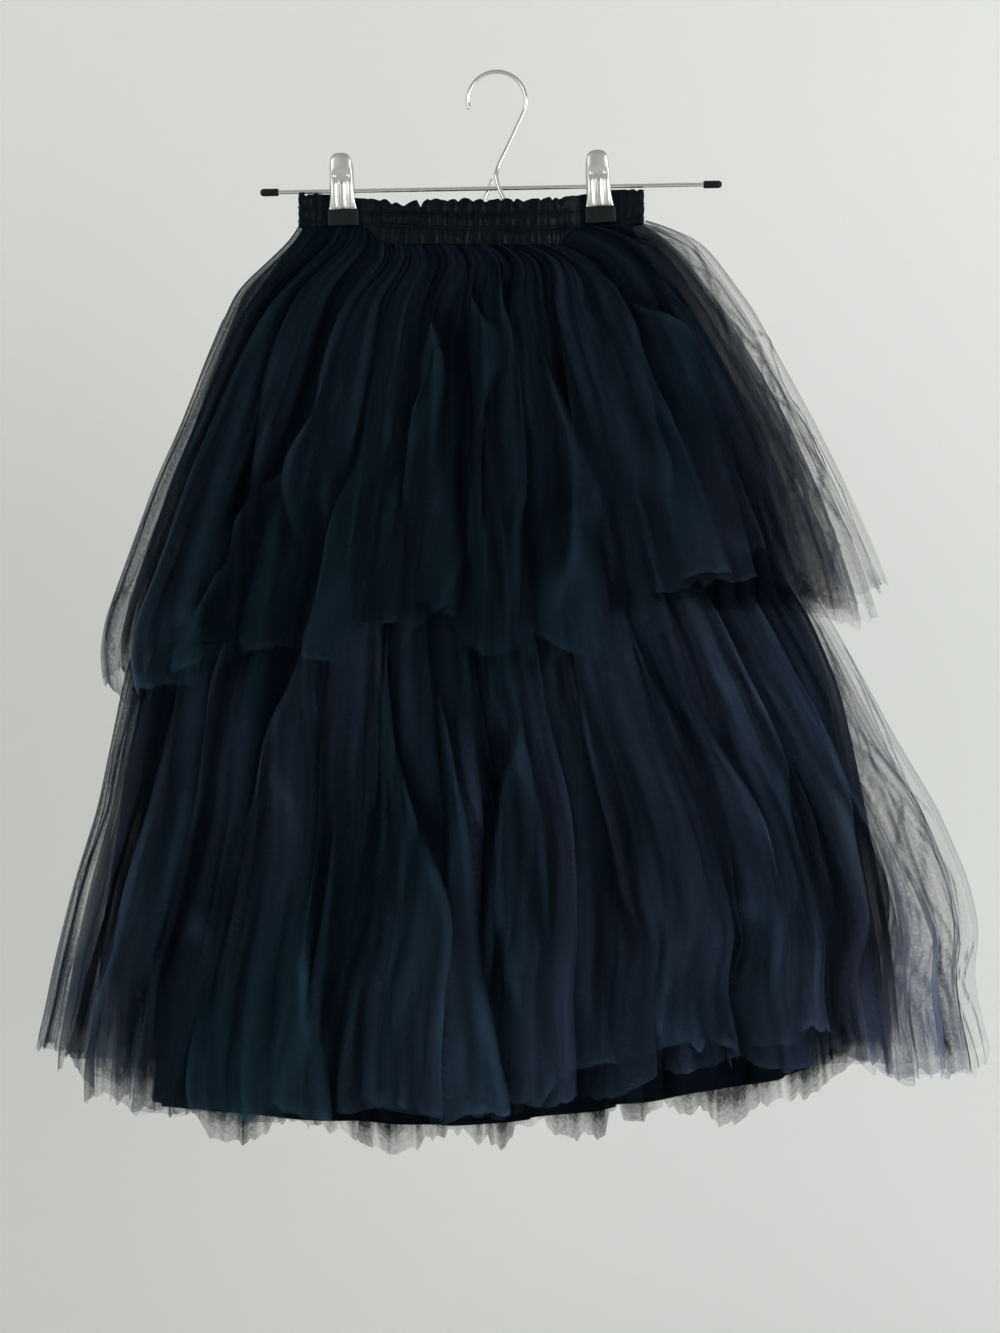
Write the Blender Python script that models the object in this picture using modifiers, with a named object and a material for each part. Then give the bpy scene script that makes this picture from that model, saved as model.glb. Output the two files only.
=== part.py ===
"""A two-tier tulle skirt with a satin waistband and lining, hanging from a wire clip hanger.

Metres, +Z up, the front towards -Y. The origin is the inner top of the hook, where a rail holds it.
The tables are in millimetres: drops are measured down from the origin, left and right along X.
"""

import math
from collections import namedtuple

import bpy
import numpy as np

MM = 0.001

# Hanger
WIRE_RADIUS = 1.6
BAR_LEFT_TIP = (-179.5, -90.2)
BAR_RIGHT_TIP = (170.5, -83.8)
HOOK_RADIUS = 22.0
HOOK_OPENING_TURN = 195.0
HOOK_SHANK_TURN = -25.0
HOOK_ARC_STEPS = 20
LOOP_STAND_OFF = 3.5
CAP_LENGTH = 14.0
CAP_RADIUS = 2.9
CAP_BORE_DEPTH = 12.0
RUNNING_GAP = 0.3
TURNED_STEPS = 16

# Clips
PLATE_THICKNESS = 1.0
PAD_WIDTH = 23.5
PAD_DEPTH = 4.4
PAD_HEIGHT = 12.4
PAD_TOP = -15.0
PAD_ROUNDING = 1.1
SPRING_RADIUS = 3.4
SPRING_LENGTH = 15.4

# Cloth
WALL = 1.4
SEAM_GAP = 0.3
EDGE_GAP = 1.3
PLAN_STEPS = 181
FLAT_FULLNESS = 0.45
FULL_FULLNESS = 0.8
FULL_DEPTH = 40.0
END_SHARE = 0.004
ROW_CROWDING = 1.25
SIDE_FOLD_SHARE = 0.35
WAIST_LEFT = -150.0
WAIST_RIGHT = 111.0
WAIST_DEPTH = 9.5
PINCHED_DEPTH = 1.05
PUCKER_COUNT = 24

Section = namedtuple("Section", "drop left right front back")
Edge = namedtuple("Edge", "place drop")
Fold = namedtuple("Fold", "share depth")
JawRow = namedtuple("JawRow", "height half_width stand flange")
Clip = namedtuple("Clip", "side place lean hang")
Tier = namedtuple("Tier", "sections rows top_dip hem_dip steps")

CLIPS = (
    Clip("left", -117.2, -2.3, 0.0),
    Clip("right", 76.9, -3.7, -1.2),
)

JAW_ROWS = (
    JawRow(27.4, 1.5, 8.0, 1.0),
    JawRow(26.6, 4.6, 9.0, 2.0),
    JawRow(24.6, 6.8, 9.6, 2.6),
    JawRow(21.5, 8.0, 9.8, 3.0),
    JawRow(16.0, 8.3, 9.3, 3.4),
    JawRow(9.0, 8.6, 8.5, 4.5),
    JawRow(2.0, 8.9, 7.8, 5.3),
    JawRow(-4.0, 9.1, 6.9, 4.6),
    JawRow(-9.0, 9.6, 5.6, 3.0),
    JawRow(-14.2, 10.4, 4.1, 1.2),
)

# Each step across a jaw: its share of the half width, and of the flange's depth
JAW_STEPS = ((-1, 1), (-1, 0.35), (-0.86, 0), (-0.4, 0), (0.4, 0), (0.86, 0), (1, 0.35), (1, 1))

# The hook's shank and the loop that it makes round the bar, from the arc to the wire's tip
HOOK_SHANK = (
    (9.5, 0.0, -52.3),
    (4.3, -0.6, -63.0),
    (0.8, -1.8, -71.0),
    (-0.5, -3.0, -77.0),
    (0.2, -LOOP_STAND_OFF, -82.5),
    (2.2, -LOOP_STAND_OFF, -89.0),
    (5.7, -LOOP_STAND_OFF, -96.5),
    (7.6, -3.0, -101.5),
    (6.9, -1.6, -106.0),
    (2.6, -0.4, -109.2),
    (-3.4, 0.6, -109.4),
    (-8.6, 1.9, -106.2),
    (-10.6, 3.0, -101.0),
    (-9.6, LOOP_STAND_OFF, -95.5),
    (-6.4, LOOP_STAND_OFF, -87.0),
    (-3.8, LOOP_STAND_OFF, -80.3),
)

# How far the clips let the waistband stand from its middle plane, by place along X
PINCH = (
    (-150.0, 6.0),
    (-132.0, PINCHED_DEPTH),
    (-102.0, PINCHED_DEPTH),
    (-80.0, 7.0),
    (-50.0, 10.0),
    (30.0, 10.0),
    (45.0, 7.0),
    (63.0, PINCHED_DEPTH),
    (93.0, PINCHED_DEPTH),
    (111.0, 5.0),
)

# The waistband's lines, by place along X
HEADING_TOP = (
    Edge(-150.0, 91.9),
    Edge(-127.0, 92.3),
    Edge(-106.0, 95.0),
    Edge(-88.6, 95.8),
    Edge(-73.5, 100.5),
    Edge(-60.5, 97.8),
    Edge(-57.5, 101.5),
    Edge(-53.0, 97.2),
    Edge(32.6, 97.0),
    Edge(63.6, 92.6),
    Edge(88.0, 88.7),
    Edge(111.0, 88.6),
)
UPPER_STITCHES = (Edge(-150, 101.2), Edge(-100, 105), Edge(-30, 107.6), Edge(40, 106), Edge(111, 98.0))
LOWER_STITCHES = (Edge(-150, 111.6), Edge(-100, 114.4), Edge(-30, 119), Edge(40, 118), Edge(111, 108.6))
WAIST_SEAM = (
    Edge(-150.0, 116.0),
    Edge(-133.0, 118.0),
    Edge(-101.0, 118.4),
    Edge(-88.0, 130.5),
    Edge(48.0, 131.0),
    Edge(62.0, 117.6),
    Edge(94.0, 116.8),
    Edge(111.0, 113.5),
)
INNER_SEAM = (Edge(0.0, 132.4),)
LOWER_SEAM = (Edge(0.0, 308.0),)

# How far the band puckers on each of its rows, from the heading's edge to the waist seam
PUCKER_DEPTHS = (2.6, 1.6, 0.5, 1.5, 0.5, 1.2)

UPPER_TULLE = Tier(
    sections=(
        Section(112, -150.4, 112.4, 9.8, 9.8),
        Section(123, -156, 150, 16, 13),
        Section(143, -178, 168, 30, 20),
        Section(160, -197, 180, 38, 27),
        Section(180, -206, 195, 46, 34),
        Section(225, -225, 219, 59, 44),
        Section(263, -240, 240, 70, 51),
        Section(305, -259, 261, 81, 58),
        Section(360, -279, 286, 94, 66),
        Section(410, -297, 305, 104, 73),
        Section(435, -301, 312, 108, 76),
        Section(480, -296, 318, 113, 80),
    ),
    rows=8,
    top_dip=1.0,
    hem_dip=17.0,
    steps=3,
)

UPPER_UNDER_TULLE = Tier(
    sections=(
        Section(112, -147.0, 109.0, 6.6, 6.6),
        Section(123, -151.0, 128, 12, 9.5),
        Section(143, -169, 146, 22, 15),
        Section(180, -195, 173, 36, 26),
        Section(225, -214, 200, 48, 36),
        Section(263, -229, 221, 58, 42),
        Section(305, -247, 240, 67, 48),
        Section(348, -262, 257, 75, 53),
        Section(396, -279, 272, 84, 59),
        Section(446, -290, 283, 91, 63),
    ),
    rows=6,
    top_dip=1.0,
    hem_dip=10.0,
    steps=2,
)

LINING = Tier(
    sections=(
        Section(112, -140.5, 102.5, 3.0, 3.0),
        Section(160, -158, 121, 13, 10),
        Section(225, -176, 142, 24, 16),
        Section(308, -195, 165, 33, 22),
        Section(500, -228, 203, 40, 28),
        Section(790, -264, 244, 47, 33),
    ),
    rows=6,
    top_dip=0.5,
    hem_dip=7.0,
    steps=2,
)

LOWER_TULLE = Tier(
    sections=(
        Section(308, -198.6, 168.6, 37.2, 26.1),
        Section(340, -226, 202, 50, 36),
        Section(380, -250, 230, 60, 42),
        Section(414, -267, 252, 67, 47),
        Section(455, -282, 275, 75, 52),
        Section(505, -292, 302, 84, 58),
        Section(558, -303, 334, 95, 64),
        Section(611, -320, 357, 105, 70),
        Section(650, -330, 366, 111, 74),
        Section(680, -337, 361, 115, 76),
        Section(711, -343, 366, 118, 78),
        Section(740, -350, 374, 121, 80),
        Section(800, -352, 378, 125, 83),
    ),
    rows=8,
    top_dip=1.2,
    hem_dip=21.0,
    steps=3,
)

LOWER_UNDER_TULLE = Tier(
    sections=(
        Section(308, -195.7, 165.7, 34.0, 22.9),
        Section(340, -216, 190, 43, 31),
        Section(414, -255, 238, 58, 41),
        Section(467, -269, 260, 66, 46),
        Section(530, -281, 274, 74, 50),
        Section(655, -300, 298, 84, 56),
        Section(800, -306, 312, 90, 60),
    ),
    rows=6,
    top_dip=1.1,
    hem_dip=11.0,
    steps=2,
)

# The folds that the front shows, crest by crest from the left side seam
UPPER_FRONT_FOLDS = (
    Fold(0.0, 0.7),
    Fold(0.064, 0.8),
    Fold(0.125, 1.0),
    Fold(0.19, 0.9),
    Fold(0.242, 0.7),
    Fold(0.283, 0.9),
    Fold(0.34, 1.0),
    Fold(0.412, 1.0),
    Fold(0.472, 0.6),
    Fold(0.512, 1.0),
    Fold(0.593, 0.9),
    Fold(0.647, 0.8),
    Fold(0.702, 1.0),
    Fold(0.773, 0.9),
    Fold(0.842, 0.9),
    Fold(0.92, 0.8),
    Fold(1.0, 0.7),
)
LOWER_FRONT_FOLDS = (
    Fold(0.0, 0.8),
    Fold(0.071, 0.7),
    Fold(0.11, 0.6),
    Fold(0.149, 0.8),
    Fold(0.204, 0.9),
    Fold(0.258, 1.0),
    Fold(0.333, 0.9),
    Fold(0.39, 0.8),
    Fold(0.442, 1.0),
    Fold(0.517, 0.9),
    Fold(0.578, 0.8),
    Fold(0.635, 0.9),
    Fold(0.693, 1.0),
    Fold(0.77, 0.8),
    Fold(0.82, 0.8),
    Fold(0.884, 1.0),
    Fold(1.0, 0.8),
)

# Where each hem ends, by share of the way round from the left side seam
UPPER_FRONT_HEM = (
    Edge(0.0, 458),
    Edge(0.08, 472),
    Edge(0.114, 470),
    Edge(0.16, 460),
    Edge(0.19, 453),
    Edge(0.279, 434),
    Edge(0.33, 441),
    Edge(0.395, 449),
    Edge(0.415, 413),
    Edge(0.437, 399),
    Edge(0.455, 434),
    Edge(0.5, 442),
    Edge(0.55, 440),
    Edge(0.562, 416),
    Edge(0.596, 439),
    Edge(0.648, 431),
    Edge(0.7, 383),
    Edge(0.8, 364),
    Edge(0.86, 388),
    Edge(0.95, 394),
    Edge(1.0, 382),
)
UPPER_BACK_HEM = (
    Edge(0.0, 458),
    Edge(0.12, 447),
    Edge(0.21, 461),
    Edge(0.3, 438),
    Edge(0.41, 452),
    Edge(0.47, 426),
    Edge(0.58, 446),
    Edge(0.67, 424),
    Edge(0.76, 435),
    Edge(0.88, 402),
    Edge(1.0, 382),
)
UPPER_UNDER_HEM = (
    Edge(0.0, 440),
    Edge(0.2, 431),
    Edge(0.36, 418),
    Edge(0.42, 398),
    Edge(0.48, 400),
    Edge(0.55, 416),
    Edge(0.7, 404),
    Edge(0.85, 408),
    Edge(1.0, 419),
)
LOWER_FRONT_HEM = (
    Edge(0.0, 740),
    Edge(0.053, 736),
    Edge(0.117, 743),
    Edge(0.15, 757),
    Edge(0.2, 778),
    Edge(0.25, 770),
    Edge(0.48, 770),
    Edge(0.56, 746),
    Edge(0.66, 722),
    Edge(0.69, 734),
    Edge(0.72, 714),
    Edge(0.8, 702),
    Edge(0.825, 738),
    Edge(0.845, 752),
    Edge(0.92, 748),
    Edge(1.0, 735),
)
LOWER_BACK_HEM = (
    Edge(0.0, 740),
    Edge(0.1, 752),
    Edge(0.24, 766),
    Edge(0.38, 757),
    Edge(0.52, 768),
    Edge(0.66, 754),
    Edge(0.78, 763),
    Edge(0.9, 746),
    Edge(1.0, 735),
)
LOWER_UNDER_HEM = (
    Edge(0.0, 752),
    Edge(0.12, 776),
    Edge(0.25, 789),
    Edge(0.5, 795),
    Edge(0.62, 778),
    Edge(0.75, 772),
    Edge(0.88, 752),
    Edge(1.0, 738),
)
LINING_HEM = (
    Edge(0.0, 777),
    Edge(0.24, 786),
    Edge(0.45, 790),
    Edge(0.6, 784),
    Edge(0.8, 768),
    Edge(1.0, 751),
)


def clear_scene():
    for old in list(bpy.data.objects):
        bpy.data.objects.remove(old, do_unlink=True)


def finish(name, colour, roughness, metallic):
    """A Principled material from the piece's own colour, roughness and metallic value."""
    material = bpy.data.materials.new(name)
    material.use_nodes = True
    shader = material.node_tree.nodes["Principled BSDF"]
    shader.inputs["Base Color"].default_value = (*colour, 1.0)
    shader.inputs["Roughness"].default_value = roughness
    shader.inputs["Metallic"].default_value = metallic
    return material


def read_edge(table, place):
    """The drop of an edge at a place, between the rows of its table."""
    return np.interp(place, [row[0] for row in table], [row[1] for row in table])


def add_mesh(name, points, faces, collection, material):
    mesh = bpy.data.meshes.new(name)
    mesh.from_pydata([tuple(point) for point in points], [], faces)
    mesh.materials.append(material)
    piece = bpy.data.objects.new(name, mesh)
    collection.objects.link(piece)
    return piece


def grid_faces(rows, columns):
    """Quads over a grid of points that is stored row by row."""
    faces = []
    for row in range(rows - 1):
        for column in range(columns - 1):
            corner = row * columns + column
            faces.append((corner, corner + columns, corner + columns + 1, corner + 1))
    return faces


def add_wall(name, grid, thickness, collection, material):
    """A sheet through a grid of points, thickened evenly to both sides."""
    rows, columns, _ = grid.shape
    piece = add_mesh(name, grid.reshape(-1, 3) * MM, grid_faces(rows, columns), collection, material)
    split = piece.modifiers.new("Split", "TRIANGULATE")
    split.quad_method = "FIXED"
    wall = piece.modifiers.new("Wall", "SOLIDIFY")
    wall.thickness = thickness * MM
    wall.offset = 0.0
    wall.use_even_offset = True
    piece.data.shade_smooth()
    return piece


def half_plan(left, right, depth):
    """Half of a flattened ellipse seen from above, from the left side seam to the right one.

    The shallower it is, the blunter its ends are, so that both halves meet squarely at the seam.
    """
    turn = np.linspace(0.0, math.pi, PLAN_STEPS)
    fullness = FLAT_FULLNESS + (FULL_FULLNESS - FLAT_FULLNESS) * min(1.0, depth / FULL_DEPTH)
    x = (left + right) / 2 - (right - left) / 2 * np.cos(turn)
    y = depth * np.sin(turn) ** fullness
    return x, y


def plan_place(x, y, share):
    """The point at a share of a plan's length, and its outward direction, square to the plan."""
    run = np.concatenate([[0.0], np.cumsum(np.hypot(np.diff(x), np.diff(y)))])
    at = share * run[-1]
    here = np.array([np.interp(at, run, x), np.interp(at, run, y)])
    if share <= 0.0:
        return here, np.array([-1.0, 0.0])
    if share >= 1.0:
        return here, np.array([1.0, 0.0])
    step = run[-1] / PLAN_STEPS
    ahead = np.array([np.interp(at + step, run, x), np.interp(at + step, run, y)])
    behind = np.array([np.interp(at - step, run, x), np.interp(at - step, run, y)])
    along = (ahead - behind) / np.linalg.norm(ahead - behind)
    return here, np.array([-along[1], along[0]])


def uneven_folds(count, start):
    """Folds whose spacing and depth wander round an even row, as gathers do."""
    folds = []
    for index in range(count + 1):
        wander = 0.24 * math.sin(2.4 * index + start) if 0 < index < count else 0.0
        folds.append(Fold((index + wander) / count, 0.8 + 0.2 * math.cos(1.9 * index + start)))
    return folds


def fold_columns(folds, steps):
    """The share and the dip of each grid column: a crest, then the trough down to the next crest.

    A narrow column at each end runs square to the side seam.
    """
    columns = [(0.0, 0.0), (END_SHARE, 0.0), (1 - END_SHARE, 0.0), (1.0, 0.0)]
    for fold, following in zip(folds, folds[1:]):
        for step in range(steps):
            part = step / steps
            share = fold.share + (following.share - fold.share) * part
            if END_SHARE < share < 1 - END_SHARE:
                columns.append((share, fold.depth * (1 - math.cos(2 * math.pi * part)) / 2))
    return sorted(columns)


def tier_grid(tier, facing, folds, seam, hem):
    """A half tier's points: each column falls from its seam to its hem while its section widens.

    Every row is a flattened ellipse of the tier's section at that drop. The folds dip inwards
    from it, and grow deeper towards the hem.
    """
    drops = [section.drop for section in tier.sections]
    lefts = [section.left for section in tier.sections]
    rights = [section.right for section in tier.sections]
    depths = [section.front if facing < 0 else section.back for section in tier.sections]
    columns = fold_columns(folds, tier.steps)
    grid = np.zeros((tier.rows + 1, len(columns), 3))
    for index, (share, dip) in enumerate(columns):
        seam_x = plan_place(*half_plan(lefts[0], rights[0], depths[0]), share)[0][0]
        seam_drop = read_edge(seam, seam_x)
        fall = read_edge(hem, share) - seam_drop
        side_share = SIDE_FOLD_SHARE + (1 - SIDE_FOLD_SHARE) * math.sin(math.pi * share)
        for row in range(tier.rows + 1):
            down = (row / tier.rows) ** ROW_CROWDING
            level = drops[0] + down * fall
            left, right, depth = (np.interp(level, drops, reach) for reach in (lefts, rights, depths))
            here, outward = plan_place(*half_plan(left, right, depth), share)
            deep = tier.top_dip + (tier.hem_dip - tier.top_dip) * down
            x, y = here - outward * deep * dip * side_share
            if dip > 0:
                y = max(y, WALL)
            grid[row, index] = (x, facing * (y + SEAM_GAP), -(seam_drop + down * fall))
    return grid


def band_grid(facing):
    """Half of the waistband: pressed flat under the clips, standing open between them, and puckered."""
    places = np.array([row[0] for row in PINCH])
    limits = np.array([row[1] for row in PINCH])
    x_plan, y_plan = half_plan(WAIST_LEFT, WAIST_RIGHT, WAIST_DEPTH)
    y_plan = np.minimum(y_plan, np.interp(x_plan, places, limits))
    puckers = np.arange(1, 2 * PUCKER_COUNT) / (2 * PUCKER_COUNT)
    shares = [0.0, END_SHARE, *puckers, 1 - END_SHARE, 1.0]
    grid = np.zeros((len(PUCKER_DEPTHS), len(shares), 3))
    for index, share in enumerate(shares):
        here, outward = plan_place(x_plan, y_plan, share)
        looseness = min(1.0, max(0.0, np.interp(here[0], places, limits) - PINCHED_DEPTH) / 4)
        inner = 1 < index < len(shares) - 2
        pucker = inner * (index % 2) * looseness * (0.8 + 0.2 * math.sin(2.1 * index + facing))
        top = read_edge(HEADING_TOP, here[0]) + 0.8 * pucker
        upper = read_edge(UPPER_STITCHES, here[0])
        lower = read_edge(LOWER_STITCHES, here[0])
        seam = read_edge(WAIST_SEAM, here[0]) - EDGE_GAP
        levels = (top, (top + upper) / 2, upper, (upper + lower) / 2, lower, seam)
        for row, (level, depth) in enumerate(zip(levels, PUCKER_DEPTHS)):
            x, y = here - outward * depth * pucker
            grid[row, index] = (x, facing * (y + SEAM_GAP), -level)
    return grid


def add_garment(collection, satin, tulle):
    """The waistband, the lining and the tulle layers, each as a front and a back."""
    for side, facing, upper_folds, lower_folds, upper_hem, lower_hem in (
        ("front", -1, UPPER_FRONT_FOLDS, LOWER_FRONT_FOLDS, UPPER_FRONT_HEM, LOWER_FRONT_HEM),
        ("back", 1, uneven_folds(16, 0.4), uneven_folds(16, 2.2), UPPER_BACK_HEM, LOWER_BACK_HEM),
    ):
        add_wall(f"waistband_{side}", band_grid(facing), WALL, collection, satin)
        upper_under_folds = uneven_folds(11, facing)
        lower_under_folds = uneven_folds(11, facing + 5)
        lining_folds = uneven_folds(8, facing + 3)
        layers = (
            ("upper_tulle", UPPER_TULLE, upper_folds, WAIST_SEAM, upper_hem),
            ("upper_under_tulle", UPPER_UNDER_TULLE, upper_under_folds, INNER_SEAM, UPPER_UNDER_HEM),
            ("lining", LINING, lining_folds, INNER_SEAM, LINING_HEM),
            ("lower_tulle", LOWER_TULLE, lower_folds, LOWER_SEAM, lower_hem),
            ("lower_under_tulle", LOWER_UNDER_TULLE, lower_under_folds, LOWER_SEAM, LOWER_UNDER_HEM),
        )
        for name, tier, folds, seam, hem in layers:
            grid = tier_grid(tier, facing, folds, seam, hem)
            material = satin if name == "lining" else tulle
            add_wall(f"{name}_{side}", grid, WALL, collection, material)


def add_wire(name, points, collection, material):
    """A round wire through the given points, with closed ends."""
    curve = bpy.data.curves.new(name, "CURVE")
    curve.dimensions = "3D"
    curve.bevel_depth = WIRE_RADIUS * MM
    curve.bevel_resolution = 2
    curve.use_fill_caps = True
    spline = curve.splines.new("POLY")
    spline.points.add(len(points) - 1)
    for knot, point in zip(spline.points, points):
        knot.co = (*(np.array(point) * MM), 1.0)
    curve.materials.append(material)
    wire = bpy.data.objects.new(name, curve)
    collection.objects.link(wire)
    return wire


def smooth_path(points, steps):
    """A Catmull-Rom curve through the points, with the given number of steps between two of them."""
    knots = np.array(points)
    knots = np.vstack([2 * knots[0] - knots[1], knots, 2 * knots[-1] - knots[-2]])
    path = []
    for before, start, end, after in zip(knots, knots[1:], knots[2:], knots[3:]):
        for step in range(steps):
            t = step / steps
            path.append(
                0.5
                * (
                    2 * start
                    + (end - before) * t
                    + (2 * before - 5 * start + 4 * end - after) * t**2
                    + (3 * start - before - 3 * end + after) * t**3
                )
            )
    path.append(knots[-2])
    return path


def bar_point(share, offset=0.0):
    """A point on the bar's axis, at a share of the way from the left tip, moved along it by an offset."""
    left = np.array([BAR_LEFT_TIP[0], 0.0, BAR_LEFT_TIP[1]])
    right = np.array([BAR_RIGHT_TIP[0], 0.0, BAR_RIGHT_TIP[1]])
    along = (right - left) / np.linalg.norm(right - left)
    return left + (right - left) * share + along * offset


def add_hanger(collection, chrome, vinyl):
    """The bar with its two end caps, and the hook whose wire loops round the bar."""
    clear_of_cap_end = CAP_LENGTH - CAP_BORE_DEPTH + RUNNING_GAP
    bar = [bar_point(0.0, clear_of_cap_end), bar_point(1.0, -clear_of_cap_end)]
    add_wire("hanger_bar", bar, collection, chrome)
    turns = np.radians(np.linspace(HOOK_OPENING_TURN, HOOK_SHANK_TURN, HOOK_ARC_STEPS))
    centre_height = WIRE_RADIUS - HOOK_RADIUS
    arc = [(HOOK_RADIUS * math.cos(t), 0.0, centre_height + HOOK_RADIUS * math.sin(t)) for t in turns]
    add_wire("hanger_hook", arc[:-1] + smooth_path([arc[-1], *HOOK_SHANK], 2), collection, chrome)
    tilt = math.atan2(BAR_RIGHT_TIP[1] - BAR_LEFT_TIP[1], BAR_RIGHT_TIP[0] - BAR_LEFT_TIP[0])
    for side, share, turn in (("left", 0.0, -math.pi / 2), ("right", 1.0, math.pi / 2)):
        cap = add_cap(f"bar_cap_{side}", collection, vinyl)
        cap.location = bar_point(share) * MM
        cap.rotation_euler = (0.0, turn - tilt, 0.0)


def add_cap(name, collection, material):
    """A turned cup whose round end lies at its origin and whose bore takes the bar's end."""
    bore = WIRE_RADIUS + RUNNING_GAP
    profile = (
        (0.0, 0.0),
        (0.55 * CAP_RADIUS, -0.4),
        (0.88 * CAP_RADIUS, -1.3),
        (CAP_RADIUS, -2.8),
        (CAP_RADIUS, -CAP_LENGTH + 0.5),
        (0.9 * CAP_RADIUS, -CAP_LENGTH),
        (bore, -CAP_LENGTH),
        (bore, -CAP_LENGTH + CAP_BORE_DEPTH),
        (0.0, -CAP_LENGTH + CAP_BORE_DEPTH),
    )
    mesh = bpy.data.meshes.new(name)
    edges = [(index, index + 1) for index in range(len(profile) - 1)]
    mesh.from_pydata([(radius * MM, 0.0, height * MM) for radius, height in profile], edges, [])
    mesh.materials.append(material)
    cap = bpy.data.objects.new(name, mesh)
    collection.objects.link(cap)
    turned = cap.modifiers.new("Turned", "SCREW")
    turned.steps = TURNED_STEPS
    turned.render_steps = TURNED_STEPS
    turned.use_merge_vertices = True
    turned.merge_threshold = 0.0001
    return cap


def jaw_grid(facing):
    """A pressed jaw: a plate whose sides turn in as flanges, from its domed top to the pad."""
    grid = np.zeros((len(JAW_ROWS), len(JAW_STEPS), 3))
    for row, jaw in enumerate(JAW_ROWS):
        for step, (across, inward) in enumerate(JAW_STEPS):
            stand = jaw.stand - inward * jaw.flange
            grid[row, step] = (across * jaw.half_width, facing * stand, jaw.height)
    return grid


def add_pad(name, facing, collection, material):
    """The soft sleeve on a jaw's end, a rounded block that bears on the waistband."""
    bpy.ops.mesh.primitive_cube_add(size=1.0)
    pad = bpy.context.object
    pad.name = name
    pad.data.name = name
    inner_face = PINCHED_DEPTH + SEAM_GAP + WALL / 2 + RUNNING_GAP
    centre = np.array([0.0, facing * (inner_face + PAD_DEPTH / 2), PAD_TOP - PAD_HEIGHT / 2])
    for corner in pad.data.vertices:
        corner.co = (np.array(corner.co) * (PAD_WIDTH, PAD_DEPTH, PAD_HEIGHT) + centre) * MM
    rounding = pad.modifiers.new("Rounding", "BEVEL")
    rounding.width = PAD_ROUNDING * MM
    rounding.segments = 2
    pad.data.materials.append(material)
    for owner in list(pad.users_collection):
        owner.objects.unlink(pad)
    collection.objects.link(pad)
    return pad


def add_spring(name, collection, material):
    """The clip's coil spring as a plain sleeve round the bar."""
    bore = WIRE_RADIUS + RUNNING_GAP
    half = SPRING_LENGTH / 2
    outline = ((SPRING_RADIUS, half), (SPRING_RADIUS, -half), (bore, -half), (bore, half))
    mesh = bpy.data.meshes.new(name)
    mesh.from_pydata(
        [(radius * MM, 0.0, height * MM) for radius, height in outline],
        [(0, 1), (1, 2), (2, 3), (3, 0)],
        [],
    )
    mesh.materials.append(material)
    spring = bpy.data.objects.new(name, mesh)
    collection.objects.link(spring)
    turned = spring.modifiers.new("Turned", "SCREW")
    turned.steps = TURNED_STEPS
    turned.render_steps = TURNED_STEPS
    turned.use_merge_vertices = True
    turned.merge_threshold = 0.0001
    return spring


def add_clip(clip, collection, chrome, vinyl, steel):
    """A pinch clip on the bar: two jaws with soft pads, and the spring between them."""
    share = (clip.place - BAR_LEFT_TIP[0]) / (BAR_RIGHT_TIP[0] - BAR_LEFT_TIP[0])
    pivot = bpy.data.objects.new(f"clip_{clip.side}_pivot", None)
    pivot.location = (bar_point(share) + (0.0, 0.0, clip.hang)) * MM
    pivot.rotation_euler = (0.0, math.radians(clip.lean), 0.0)
    collection.objects.link(pivot)
    for facing, way in ((-1, "front"), (1, "back")):
        jaw = add_wall(f"clip_{clip.side}_{way}_jaw", jaw_grid(facing), PLATE_THICKNESS, collection, chrome)
        jaw.parent = pivot
        pad = add_pad(f"clip_{clip.side}_{way}_pad", facing, collection, vinyl)
        pad.parent = pivot
    spring = add_spring(f"clip_{clip.side}_spring", collection, steel)
    tilt = math.atan2(BAR_RIGHT_TIP[1] - BAR_LEFT_TIP[1], BAR_RIGHT_TIP[0] - BAR_LEFT_TIP[0])
    spring.location = bar_point(share) * MM
    spring.rotation_euler = (0.0, math.pi / 2 - tilt, 0.0)


def main():
    clear_scene()
    collection = bpy.data.collections.new("tulle_skirt_on_clip_hanger")
    bpy.context.scene.collection.children.link(collection)
    satin = finish("black_satin", (0.010, 0.013, 0.018), 0.42, 0.0)
    tulle = finish("navy_tulle", (0.012, 0.018, 0.032), 0.85, 0.0)
    chrome = finish("chromed_steel", (0.72, 0.72, 0.70), 0.16, 1.0)
    vinyl = finish("black_vinyl", (0.017, 0.020, 0.020), 0.45, 0.0)
    steel = finish("spring_steel", (0.45, 0.45, 0.44), 0.35, 1.0)
    add_garment(collection, satin, tulle)
    add_hanger(collection, chrome, vinyl)
    for clip in CLIPS:
        add_clip(clip, collection, chrome, vinyl, steel)


main()
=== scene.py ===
"""The looks of a two-tier tulle skirt on a clip hanger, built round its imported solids.

Metres, +Z up, the front towards -Y, the origin at the inner top of the hook. The tables are in
millimetres: drops run down from the origin, left and right along X. A share runs along a half's
plan from the left side seam to the right one, and a way down from a tier's seam (0) to its hem (1).
A half faces the front at -1 and the back at 1.
"""

import math
from collections import namedtuple

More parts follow.
